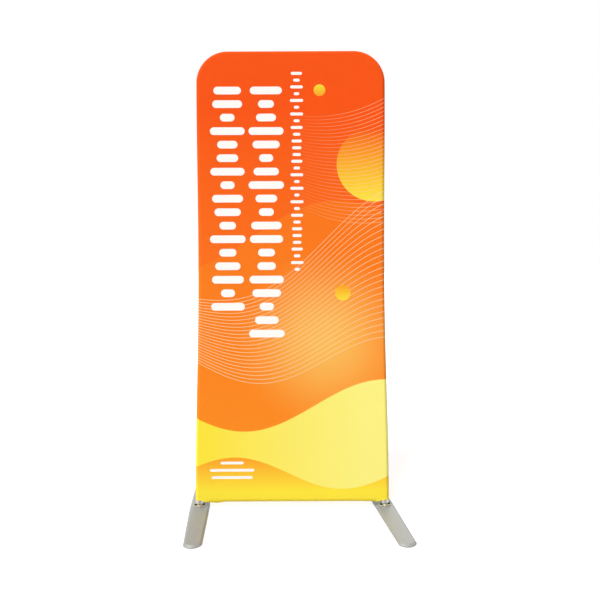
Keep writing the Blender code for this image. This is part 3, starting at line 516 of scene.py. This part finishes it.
def printed_polyester(name, hand):
    """Warp-knitted stretch polyester, printed by dye sublimation: matt, saturated, with a faint knit."""
    tree, shader, material = new_material(
        name, (1, 1, 1), 0.8, Specular_IOR_Level=0.08, Sheen_Weight=0.02, Sheen_Roughness=0.5
    )
    loops = add_node(tree, "Math", [bands(tree, "X", WALE), bands(tree, "Z", COURSE)], operation="MULTIPLY")
    art = printed_artwork(tree, hand)
    shade = add_node(tree, "MapRange", {"Value": loops, "To Min": 0.97, "To Max": 1.0})
    # Broad, faint darker patches: painted shade of the cloth's slight billow.
    cloud = grain_noise(tree, 0.2)
    painted_billow_shade = add_node(tree, "MapRange", {"Value": cloud, "To Min": 0.985, "To Max": 1.0})
    tone = add_node(tree, "Math", [shade, painted_billow_shade], operation="MULTIPLY")
    cloth = add_node(tree, "VectorMath", {0: art, "Scale": tone}, operation="SCALE")
    tree.links.new(cloth.outputs[0], shader.inputs["Base Color"])
    raise_surface(tree, shader, loops, 0.00015)
    return material


# Shapes
SHARP = 35  # degrees between two faces past which their edge stays crisp


def finished(bm, name, smooth_below=SHARP):
    """A named piece from a bmesh, its faces turned out and its gentle edges smooth."""
    bmesh.ops.recalc_face_normals(bm, faces=bm.faces)
    mesh = bpy.data.meshes.new(name)
    bm.to_mesh(mesh)
    bm.free()
    mesh.shade_smooth()
    mesh.set_sharp_from_angle(angle=math.radians(smooth_below))
    piece = bpy.data.objects.new(name, mesh)
    bpy.context.scene.collection.objects.link(piece)
    return piece


def strip_between(bm, first, second):
    """A strip of faces between two lines of as many points each."""
    for corners in zip(first, first[1:], second[1:], second):
        bm.faces.new(corners)


def dress(piece, material, body, node):
    """Gives a new piece its material and slot, and lets it stand for a CAD node on its body."""
    piece.data.materials.clear()
    piece.data.materials.append(material)
    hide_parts(node)
    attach(piece, body)


def smooth_share(value):
    share = min(max(value, 0.0), 1.0)
    return share * share * (3 - 2 * share)


# Cover
ROLL_ROWS = 7  # rows of faces where the cloth wraps under the crossbar
CLOTHED_TUBE = 2 * COVER_REACH  # the breadth of a tube with the cloth round it


def upright_x(z, sizes):
    """How far an upright's centre line is from the stand's middle at a height."""
    tangent = COVER_TOP - sizes.corner_radius
    share = min(max((z - COVER_BOTTOM) / (tangent - COVER_BOTTOM), 0.0), 1.0)
    straight = (sizes.bottom_width + (sizes.top_width - sizes.bottom_width) * smooth_share(share)) / 2
    return straight - sizes.waist * math.sin(math.pi * share) ** 2 - COVER_REACH


def crossbar_z(sizes):
    return COVER_BOTTOM + (COVER_REACH + sizes.zip_drop) * math.sin(sizes.roll)


def side_stations(sizes):
    """Places up the right tube's centre line and the way out at each, as (across, height) pairs."""
    start = crossbar_z(sizes)
    tangent = COVER_TOP - sizes.corner_radius
    heights = [
        start - (COVER_REACH + sizes.zip_drop) * math.sin(sizes.roll * (1 - i / ROLL_ROWS))
        for i in range(ROLL_ROWS)
    ]
    heights += [start + (tangent - start) * i / sizes.side_rows for i in range(sizes.side_rows + 1)]
    step = 0.001  # over which the tube's lean is taken
    stations = []
    for z in heights:
        lean = (upright_x(z + step, sizes) - upright_x(z - step, sizes)) / (2 * step)
        stations.append((Vector((upright_x(z, sizes), z)), Vector((1, -lean)).normalized()))
    bend = sizes.corner_radius - COVER_REACH
    centre = Vector((upright_x(tangent, sizes) - bend, tangent))
    for i in range(1, sizes.corner_rows + 1):
        turn = math.pi / 2 * i / sizes.corner_rows
        way = Vector((math.cos(turn), math.sin(turn)))
        stations.append((centre + way * bend, way))
    return stations


def seam_pucker(z, from_side):
    """Small waves beside the side seams, unevenly spaced and fading over about 30 mm."""
    depth, fade, spacing = 0.0003, 0.03, 0.041
    wander = 2 * math.sin(z * 9)
    return depth * math.exp(-from_side / fade) * math.sin(2 * math.pi * z / spacing + wander)


def corner_pull(x, from_side, from_foot):
    """Shallow creases that fan out from a bottom corner, where the cloth is free of the tubes."""
    depth, fade, fan, clear = 0.0018, 0.12, 9, 0.03
    off_upright = smooth_share((from_side - CLOTHED_TUBE) / clear)
    off_crossbar = smooth_share((from_foot - CLOTHED_TUBE) / clear)
    away = math.hypot(from_side, from_foot)
    bearing = math.atan2(from_foot, from_side + 0.001)  # seen from just outside the corner
    unlike = 1.5 * (x > 0)  # so that the two corners differ
    return depth * off_upright * off_crossbar * math.exp(-away / fade) * math.sin(bearing * fan + unlike)


def cloth_relief(x, z, tube_x):
    """How far the taut cloth stands in from the flat: puckers, creases and a slight hollow."""
    from_side, from_foot, from_top = tube_x - abs(x), z - COVER_BOTTOM, COVER_TOP - z
    hollow, rest = 0.0015, 0.0002
    side_reach, end_reach = 0.2, 0.3  # how far in from the edges the hollow grows
    hollow *= smooth_share(from_side / side_reach)
    hollow *= smooth_share(from_top / end_reach) * smooth_share(from_foot / end_reach)
    waves = rest + seam_pucker(z, from_side) + corner_pull(x, from_side, from_foot)
    return max(0.0, waves) + hollow


def hem_drop(x, tube_x, sizes):
    """How far the bottom edge hangs below its line: most just inside the left tube."""
    middle, spread, right_share = 0.075, 0.032, 0.3
    bulge = math.exp(-(((tube_x - abs(x) - middle) / spread) ** 2))
    return sizes.sag * bulge * (1.0 if x < 0 else right_share)


def corner_lift(from_side, z, sizes):
    """How far the cloth is drawn up at a bottom corner, fading inwards and upwards."""
    width, height = 0.055, 0.06
    inwards = 1 - smooth_share(from_side / width)
    upwards = 1 - smooth_share((z - COVER_BOTTOM) / height)
    return sizes.lift * inwards * upwards


def seam_profile(sizes):
    """(turn, radius) pairs round a tube from the flat to its side, where the seam draws the cloth in."""
    steps = 10
    profile = [(math.pi / 2 * i / steps, COVER_REACH) for i in range(1, steps)]
    for before_seam, share in ((0.09, 0.1), (0.04, 0.55), (0.005, 1.0)):
        profile.append((math.pi / 2 - before_seam, COVER_REACH - share * sizes.groove))
    return profile


def panel_rows(bm, face, stations, sizes):
    """Rows of points over the flat, from its lowest, which is rolled under the crossbar, to its highest."""
    # The columns lie closer towards the sides, where the cloth puckers
    shares = [math.sin(math.pi / 2 * (2 * k / sizes.columns - 1)) for k in range(sizes.columns + 1)]
    flap = upright_x(crossbar_z(sizes), sizes) - CLOTHED_TUBE  # the roll ends clear of the uprights
    flap_edge = 0.02
    rows = []
    for j, (place, _) in enumerate(stations):
        tube_x, z = place
        turn = sizes.roll * max(ROLL_ROWS - j, 0) / ROLL_ROWS
        row = []
        for share in shares:
            x = tube_x * share
            rolled = smooth_share((flap - abs(x)) / flap_edge)
            depth = COVER_REACH * (1 - rolled + rolled * math.cos(turn))
            depth -= cloth_relief(x, z, tube_x) * math.cos(turn)
            drop = hem_drop(x, tube_x, sizes) * math.sin(turn) / math.sin(sizes.roll)
            height = z - drop + corner_lift(tube_x - abs(x), z, sizes)
            row.append(bm.verts.new((MIDDLE_X + x, face * depth, height)))
        rows.append(row)
    return rows


def panel_edge(rows, stations):
    """The flat's edge points, right foot to left over the top, each with its tube's place and way out."""
    mirror = Vector((-1, 1))
    top_z = stations[-1][0].y
    right = [(row[-1], place, way) for row, (place, way) in zip(rows, stations)]
    top = [(vert, Vector((vert.co.x - MIDDLE_X, top_z)), Vector((0, 1))) for vert in rows[-1][-2:0:-1]]
    left = [(row[0], place * mirror, way * mirror) for row, (place, way) in zip(rows, stations)]
    return right + top + left[::-1]


def panel_mesh(word, sizes):
    """One panel of the cover: a grid over the flat, and rolls round the side and top tubes."""
    face = FACES[word]
    bm = bmesh.new()
    stations = side_stations(sizes)
    rows = panel_rows(bm, face, stations, sizes)
    for low, high in zip(rows, rows[1:]):
        strip_between(bm, low, high)
    previous = None
    for vert, place, way in panel_edge(rows, stations):
        line = [vert]
        for turn, radius in seam_profile(sizes):
            out = place + way * radius * math.sin(turn)
            height = out.y + corner_lift(0, out.y, sizes)
            line.append(bm.verts.new((MIDDLE_X + out.x, face * radius * math.cos(turn), height)))
        if previous:
            strip_between(bm, previous, line)
        previous = line
    return finished(bm, word + "_print", smooth_below=80)


def orient_out(piece, outward):
    """Turns a single sheet's faces so that they look the given way on the whole."""
    bm = bmesh.new()
    bm.from_mesh(piece.data)
    total = sum(f.normal.dot(outward) * f.calc_area() for f in bm.faces)
    if total < 0:
        bmesh.ops.reverse_faces(bm, faces=bm.faces)
    bm.to_mesh(piece.data)
    bm.free()


class BANNER_OT_cover(Operator):
    """Make the two printed panels of the cover"""

    bl_idname = "banner_stand.cover"
    bl_label = "Cover panels"

    def execute(self, context):
        sizes = settings().cover
        for word, face in FACES.items():
            panel = panel_mesh(word, sizes)
            orient_out(panel, Vector((0, face, 0)))
            thick = panel.modifiers.new("cloth", "SOLIDIFY")
            thick.thickness = sizes.cloth
            thick.offset = -1
            material = printed_polyester("printed_stretch_polyester_" + word, -face)
            dress(panel, material, "frame", "cover_" + word)
        return {"FINISHED"}


# Feet
def foot_place(side):
    """A foot's pivot on the floor and the way its front points, from its outer pads."""
    front, rear = middle_of(f"foot_pad_{side}_1"), middle_of(f"foot_pad_{side}_4")
    pivot = (front + rear) / 2
    turn = math.atan2(front.x - rear.x, rear.y - front.y)
    return Matrix.Translation((pivot.x, pivot.y, 0)) @ Matrix.Rotation(turn, 4, "Z")


def foot_outline(inset, feet, steps=40):
    """The plate's outline: widest at the hub, tapered to two rounded ends."""
    end_half = feet.end_width / 2
    end_radius = (end_half**2 + feet.end_depth**2) / (2 * feet.end_depth)
    centre = feet.length / 2 - end_radius
    radius = end_radius - inset
    shoulder = math.asin(min((end_half - inset) / radius, 1))
    arc = []
    for i in range(steps + 1):
        turn = shoulder - 2 * shoulder * i / steps
        arc.append((radius * math.sin(turn), -centre - radius * math.cos(turn)))
    front = [(feet.width / 2 - inset, 0)] + arc
    return front + [(-x, -y) for x, y in front]


def stacked(name, rings):
    """A solid through rings of as many points each, closed by its first and last ring."""
    bm = bmesh.new()
    rows = [[bm.verts.new(point) for point in ring] for ring in rings]
    for low, high in zip(rows, rows[1:]):
        strip_between(bm, low + low[:1], high + high[:1])
    bm.faces.new(rows[0])
    bm.faces.new(rows[-1])
    return finished(bm, name)


def turned(name, profile, sides=64):
    """A (radius, height) profile turned round Z, from axis to axis."""
    bm = bmesh.new()
    rows = []
    for radius, height in profile:
        points = sides if radius else 1
        turns = [2 * math.pi * i / sides for i in range(points)]
        rows.append([bm.verts.new((radius * math.cos(t), radius * math.sin(t), height)) for t in turns])
    for first, second in zip(rows, rows[1:]):
        for i in range(sides):
            j = (i + 1) % sides
            corners = [row[k % len(row)] for row, k in ((first, i), (first, j), (second, j), (second, i))]
            bm.faces.new(list(dict.fromkeys(corners)))
    return finished(bm, name)


def rounded(corner, radius, start, stop, steps=5):
    """Points round a corner's centre, as (out, up) pairs."""
    turns = [math.radians(start + (stop - start) * i / steps) for i in range(steps + 1)]
    return [(corner[0] + radius * math.cos(t), corner[1] + radius * math.sin(t)) for t in turns]


def cut_away(piece, cutters):
    """Cuts the other pieces out of a piece, and removes them."""
    for cutter in cutters:
        change = piece.modifiers.new("cut", "BOOLEAN")
        change.operation = "DIFFERENCE"
        change.solver = "EXACT"
        change.object = cutter
    graph = bpy.context.evaluated_depsgraph_get()
    mesh = bpy.data.meshes.new_from_object(piece.evaluated_get(graph))
    piece.modifiers.clear()
    piece.data = mesh
    for cutter in cutters:
        bpy.data.objects.remove(cutter)
    mesh.shade_smooth()
    mesh.set_sharp_from_angle(angle=math.radians(SHARP))
    return piece


def put(piece, matrix):
    piece.data.transform(matrix)
    return piece


MID_ARC = 0.3  # how far the middle of a rounded corner lies in from its sides, as a share of its radius


def plate_levels(feet, steps=8):
    """(inset, height) steps up the plate's edge: a softened arris, the side and the slightly full bevel."""
    low, high = PLATE_LOW.z, PLATE_HIGH.z
    soft = feet.arris
    shoulder = high - feet.bevel_drop
    slope = math.atan2(feet.bevel_drop, feet.bevel)
    mid = soft * MID_ARC
    levels = [(soft, low), (mid, low + mid), (0, low + soft), (0, shoulder - mid)]
    levels.append((mid / 3, shoulder + mid / 3))  # the side turns gently into the bevel
    for i in range(1, steps + 1):
        share = i / steps
        bulge = 4 * feet.bevel_bulge * share * (1 - share)
        levels.append((
            feet.bevel * share - bulge * math.sin(slope),
            shoulder + feet.bevel_drop * share + bulge * math.cos(slope),
        ))
    levels.append((feet.bevel + soft, high))
    return levels


class BANNER_OT_feet(Operator):
    """Make the two foot plates"""

    bl_idname = "banner_stand.feet"
    bl_label = "Foot plates"

    def execute(self, context):
        feet = settings().feet
        coat = powder_coated_steel(settings().finishes.plate)
        for side in SIDES:
            rings = [[(x, y, z) for x, y in foot_outline(inset, feet)] for inset, z in plate_levels(feet)]
            plate = put(stacked(side + "_foot_plate", rings), foot_place(side))
            dress(plate, coat, "foot_" + side, "foot_plate_" + side)
        return {"FINISHED"}


def ear_outline(inset, feet):
    """The flange's outline: a disc round the boss and an ear round each screw, joined by tangents."""
    disc = feet.disc_radius - inset
    ear = feet.ear_radius - inset
    offset = feet.ear_spacing / 2
    tangent = math.acos((disc - ear) / offset)
    steps = 20
    points = []
    for centre, radius, start, stop in (
        (offset, ear, -tangent, tangent),
        (0, disc, tangent, math.pi - tangent),
        (-offset, ear, math.pi - tangent, math.pi + tangent),
        (0, disc, math.pi + tangent, 2 * math.pi - tangent),
    ):
        for i in range(steps + 1):
            turn = start + (stop - start) * i / steps
            points.append((centre + radius * math.cos(turn), radius * math.sin(turn)))
    return points


def hub_flange(side, feet):
    """The eared flange, which stands on a slightly narrower foot, with a well in each ear for its screw."""
    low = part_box("foot_hub_" + side)[0].z
    high = low + feet.flange
    soft = feet.arris
    mid = soft * MID_ARC
    levels = [(soft, low), (soft, low + soft), (0, low + 1.5 * soft)]
    levels += [(0, high - soft), (mid, high - mid), (soft, high)]
    rings = [[(x, y, z) for x, y in ear_outline(inset, feet)] for inset, z in levels]
    flange = stacked(side + "_hub_flange", rings)
    radius = feet.head_radius + 0.0005  # room for the head to turn
    chamfer, over = 0.0004, 0.0002
    rim = radius + chamfer + over
    floor, clear = low + 0.001, high + 0.02
    well = [(0, floor), (radius, floor), (radius, high - chamfer)]
    well += [(rim, high + over), (rim, clear), (0, clear)]
    spots = [Matrix.Translation((hand * feet.ear_spacing / 2, 0, 0)) for hand in (-1, 1)]
    return cut_away(flange, [put(turned("well", well, 48), spot) for spot in spots])


def hub_post(side, feet):
    """The boss under the upright, with the fillet at its root, and the pin above it."""
    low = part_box("foot_hub_" + side)[0].z + feet.flange
    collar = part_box("upright_bush_" + side)[0].z - 0.0003  # the play under the bush
    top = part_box("foot_hub_" + side)[1].z
    boss, pin = feet.boss_radius, feet.pin_radius
    sunk, fillet, edge, chamfer = 0.002, 0.0008, 0.001, 0.002
    profile = [(0, low - sunk), (boss + fillet, low - sunk)]
    profile += rounded((boss + fillet, low + fillet), fillet, 270, 180)
    profile += rounded((boss - edge, collar - edge), edge, 0, 90)
    profile += [(pin, collar), (pin, top - chamfer), (pin - chamfer, top), (0, top)]
    return turned(side + "_hub_post", profile)


class BANNER_OT_hubs(Operator):
    """Make the two hubs, each an eared flange with a boss and pin"""

    bl_idname = "banner_stand.hubs"
    bl_label = "Hubs"

    def execute(self, context):
        feet = settings().feet
        zinc = cast_zinc(settings().finishes.hub)
        for side in SIDES:
            for piece in (hub_flange(side, feet), hub_post(side, feet)):
                put(piece, foot_place(side))
                dress(piece, zinc, "foot_" + side, "foot_hub_" + side)
        return {"FINISHED"}


def cap_screw(name, feet, low, high):
    """A socket cap screw from its tip up: a head with a rounded rim and a hexagon socket."""
    head, shank, head_height = feet.head_radius, 0.0025, 0.0035
    chamfer, rim, socket_depth = 0.0005, 0.0006, 0.002
    seat = high - head_height
    top = high + feet.head_stands
    profile = [(0, low), (shank - chamfer, low), (shank, low + chamfer), (shank, seat), (head, seat)]
    profile += rounded((head - rim, top - rim), rim, 0, 90) + [(0, top)]
    screw = turned(name, profile, 40)
    depth, clear = top - socket_depth, top + 0.002
    socket = [(0, depth), (feet.socket_radius, depth), (feet.socket_radius, clear), (0, clear)]
    return cut_away(screw, [turned("socket", socket, 6)])


class BANNER_OT_screws(Operator):
    """Make the four cap screws that hold the hubs down"""

    bl_idname = "banner_stand.screws"
    bl_label = "Hub screws"

    def execute(self, context):
        feet = settings().feet
        steel = black_oxide_steel(settings().finishes.dark)
        socket_turn = Matrix.Rotation(0.4, 4, "Z")
        for side in SIDES:
            for letter in "ab":
                node = f"hub_screw_{side}_{letter}"
                low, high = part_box(node)
                spot = middle_of(node)
                screw = cap_screw(f"{side}_cap_screw_{letter}", feet, low.z, high.z)
                put(screw, Matrix.Translation((spot.x, spot.y, 0)) @ socket_turn)
                dress(screw, steel, "foot_" + side, node)
        return {"FINISHED"}


class BANNER_OT_pads(Operator):
    """Make the anti-slip pads under the feet"""

    bl_idname = "banner_stand.pads"
    bl_label = "Foot pads"

    def execute(self, context):
        rubber = moulded_rubber(settings().finishes.rubber)
        flat_edge, soft = 0.002, 0.0008
        for side in SIDES:
            for place in range(1, 5):
                node = f"foot_pad_{side}_{place}"
                low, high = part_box(node)
                spot = middle_of(node)
                radius = (high.x - low.x) / 2
                profile = [(0, low.z), (radius - flat_edge, low.z)]
                profile += rounded((radius - soft, low.z + soft), soft, 270, 360)
                profile += [(radius, high.z), (0, high.z)]
                pad = turned(f"{side}_pad_{place}", profile, 48)
                put(pad, Matrix.Translation((spot.x, spot.y, 0)))
                dress(pad, rubber, "foot_" + side, node)
        return {"FINISHED"}


# Frame
def smooth_shading(limit=30):
    """A modifier's nodes that weld facets and shade them smooth, but for edges that turn past the limit."""
    tree = bpy.data.node_groups.new("smooth_shading", "GeometryNodeTree")
    for way in ("INPUT", "OUTPUT"):
        tree.interface.new_socket("Geometry", in_out=way, socket_type="NodeSocketGeometry")
    given = add_node(tree, "NodeGroupInput")
    welded = add_node(tree, "GeometryNodeMergeByDistance", {"Geometry": given, "Distance": 1e-5})
    angle = add_node(tree, "GeometryNodeInputMeshEdgeAngle")
    corner = add_node(tree, "FunctionNodeCompare", {"A": angle, "B": math.radians(limit)})
    smooth = add_node(tree, "GeometryNodeSetShadeSmooth", {"Geometry": welded})
    edges = {"Geometry": smooth, "Selection": corner, "Shade Smooth": False}
    kept = add_node(tree, "GeometryNodeSetShadeSmooth", edges, domain="EDGE")
    add_node(tree, "NodeGroupOutput", [kept])
    return tree


def finish_nodes(finishes, shading):
    """Gives the frame's own pieces a material by the start of their name, and round shading."""
    for start, material in finishes.items():
        for name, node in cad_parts.items():
            if name.startswith(start):
                node.data.materials.clear()
                node.data.materials.append(material)
                node.modifiers.new("shading", "NODES").node_group = shading


class BANNER_OT_frame(Operator):
    """Give the tubes, sleeves, bushes and snap joints their finish"""

    bl_idname = "banner_stand.frame"
    bl_label = "Frame finishes"

    def execute(self, context):
        paint = settings().finishes
        tube = anodised_aluminium(paint.tube)
        sleeve = mill_aluminium(paint.tube)
        finishes = {
            "lower_upright": tube,
            "upper_upright": tube,
            "top_bow": tube,
            "bottom_crossbar": anodised_crossbar(paint.tube),
            "lower_spigot": sleeve,
            "upper_spigot": sleeve,
            "top_spigot": sleeve,
            "upright_bush": moulded_nylon(paint.nylon),
            "snap_button": bright_metal("zinc_plated_steel", paint.zinc, 0.28, 0.004),
            "snap_spring": bright_metal("tempered_spring_steel", [c * 0.7 for c in paint.zinc], 0.34, 0.01),
            "spigot_rivet": bright_metal("bright_aluminium_rivet", paint.tube, 0.30, 0.003),
        }
        finish_nodes(finishes, smooth_shading())
        return {"FINISHED"}


class BANNER_OT_zip(Operator):
    """Give the zip its finish"""

    bl_idname = "banner_stand.zip"
    bl_label = "Zip"

    def execute(self, context):
        paint = settings().finishes
        nickel = bright_metal("nickel_plated_zinc", paint.nickel, 0.26, 0.003)
        finishes = {"zip_tape": woven_tape(paint.tape)}
        finishes.update({start: nickel for start in ("zip_slider", "zip_pull", "zip_stop")})
        finish_nodes(finishes, smooth_shading())
        return {"FINISHED"}


# Stage
def white_to_the_eye(tree):
    """1 for what the camera, a reflection or a clear surface looks at directly."""
    path = add_node(tree, "LightPath")
    rays = [path.outputs[name] for name in ("Is Camera Ray", "Is Glossy Ray", "Is Transmission Ray")]
    pair = add_node(tree, "Math", rays[:2], operation="MAXIMUM")
    return add_node(tree, "Math", [pair, rays[2]], operation="MAXIMUM")


def make_floor():
    """Grey paper that bounces soft light, and shows white where it is lit."""
    bm = bmesh.new()
    bmesh.ops.create_grid(bm, x_segments=1, y_segments=1, size=30)
    floor = finished(bm, "floor")
    material = bpy.data.materials.new("pale_studio_floor")
    material.use_nodes = True
    tree = material.node_tree
    tree.nodes.clear()
    paper = add_node(tree, "BsdfDiffuse", {"Color": (0.5, 0.5, 0.5, 1)})
    lift = add_node(tree, "Emission", {"Color": (1, 1, 1, 1), "Strength": 0.62})
    shown = add_node(tree, "AddShader", [paper, lift])
    mixed = add_node(tree, "MixShader", [white_to_the_eye(tree), paper, shown])
    add_node(tree, "OutputMaterial", [mixed])
    floor.data.materials.append(material)


def make_sky(stage):
    """A world that lights from overhead more than from the sides, and looks white."""
    world = bpy.data.worlds.new("studio")
    bpy.context.scene.world = world
    world.use_nodes = True
    tree = world.node_tree
    tree.nodes.clear()
    way = add_node(tree, "SeparateXYZ", [add_node(tree, "TexCoord").outputs["Generated"]])
    levels = {"Value": way.outputs["Z"], "To Min": stage.horizon, "To Max": stage.sky}
    rising = add_node(tree, "MapRange", levels)
    light = add_node(tree, "Background", {"Color": (1, 1, 1, 1), "Strength": rising})
    white = add_node(tree, "Background", {"Color": (1, 1, 1, 1), "Strength": 1.0})
    mixed = add_node(tree, "MixShader", [white_to_the_eye(tree), light, white])
    add_node(tree, "OutputWorld", [mixed])


def make_sun(name, strength, towards, spread, gleams=True):
    """A far, wide lamp that shines the given way, and shows in reflections or not."""
    lamp = bpy.data.lights.new(name, "SUN")
    lamp.energy = strength
    lamp.angle = math.radians(spread)
    lamp_object = bpy.data.objects.new(name, lamp)
    bpy.context.scene.collection.objects.link(lamp_object)
    lamp_object.rotation_euler = Vector(towards).to_track_quat("-Z", "Y").to_euler()
    lamp_object.visible_glossy = gleams


def make_camera(stage):
    camera = bpy.data.cameras.new("camera")
    camera.lens = stage.lens
    camera.sensor_width = 36
    camera.shift_y = stage.shift
    camera.clip_start = 0.01
    camera.clip_end = 200
    eye = bpy.data.objects.new("camera", camera)
    bpy.context.scene.collection.objects.link(eye)
    level = Matrix.Rotation(math.pi / 2, 4, "X") @ Matrix.Rotation(stage.lean, 4, "Z")
    eye.matrix_world = Matrix.Translation((stage.camera_x, stage.camera_y, stage.camera_z)) @ level
    bpy.context.scene.camera = eye


class BANNER_OT_stage(Operator):
    """Make the floor, the light and the camera"""

    bl_idname = "banner_stand.stage"
    bl_label = "Stage"

    def execute(self, context):
        stage = settings().stage
        make_floor()
        make_sky(stage)
        make_sun("front_light", stage.sun, (0.42, 0.50, -0.757), 30)
        make_sun("rear_light", stage.rim, (-0.25, -1.0, -0.75), 40, gleams=False)
        make_camera(stage)
        context.scene.view_settings.view_transform = "Standard"
        return {"FINISHED"}


OPERATORS = (
    BANNER_OT_stage,
    BANNER_OT_cover,
    BANNER_OT_zip,
    BANNER_OT_feet,
    BANNER_OT_hubs,
    BANNER_OT_screws,
    BANNER_OT_pads,
    BANNER_OT_frame,
)


class BANNER_PT_sidebar(Panel):
    """Buttons for each piece of the stand, with its sizes and colours"""

    bl_label = "Banner stand"
    bl_space_type = "VIEW_3D"
    bl_region_type = "UI"
    bl_category = "Banner"

    def draw(self, context):
        for operator in OPERATORS:
            self.layout.operator(operator.bl_idname)
        for group in ("cover", "colours", "feet", "finishes", "stage"):
            box = self.layout.box()
            box.label(text=group.capitalize())
            values = getattr(settings(), group)
            for name in values.__annotations__:
                box.prop(values, name)


CLASSES = (
    CoverSizes,
    PrintColours,
    FootSizes,
    Finishes,
    StageSettings,
    StandSettings,
    *OPERATORS,
    BANNER_PT_sidebar,
)


def register():
    for each in CLASSES:
        bpy.utils.register_class(each)
    bpy.types.Scene.banner_stand = PointerProperty(type=StandSettings)


def unregister():
    del bpy.types.Scene.banner_stand
    for each in reversed(CLASSES):
        bpy.utils.unregister_class(each)


def main():
    register()
    bpy.ops.banner_stand.stage()
    bpy.ops.banner_stand.cover()
    bpy.ops.banner_stand.zip()
    bpy.ops.banner_stand.feet()
    bpy.ops.banner_stand.hubs()
    bpy.ops.banner_stand.screws()
    bpy.ops.banner_stand.pads()
    bpy.ops.banner_stand.frame()
    bpy.context.view_layer.update()


if __name__ == "__main__":
    main()
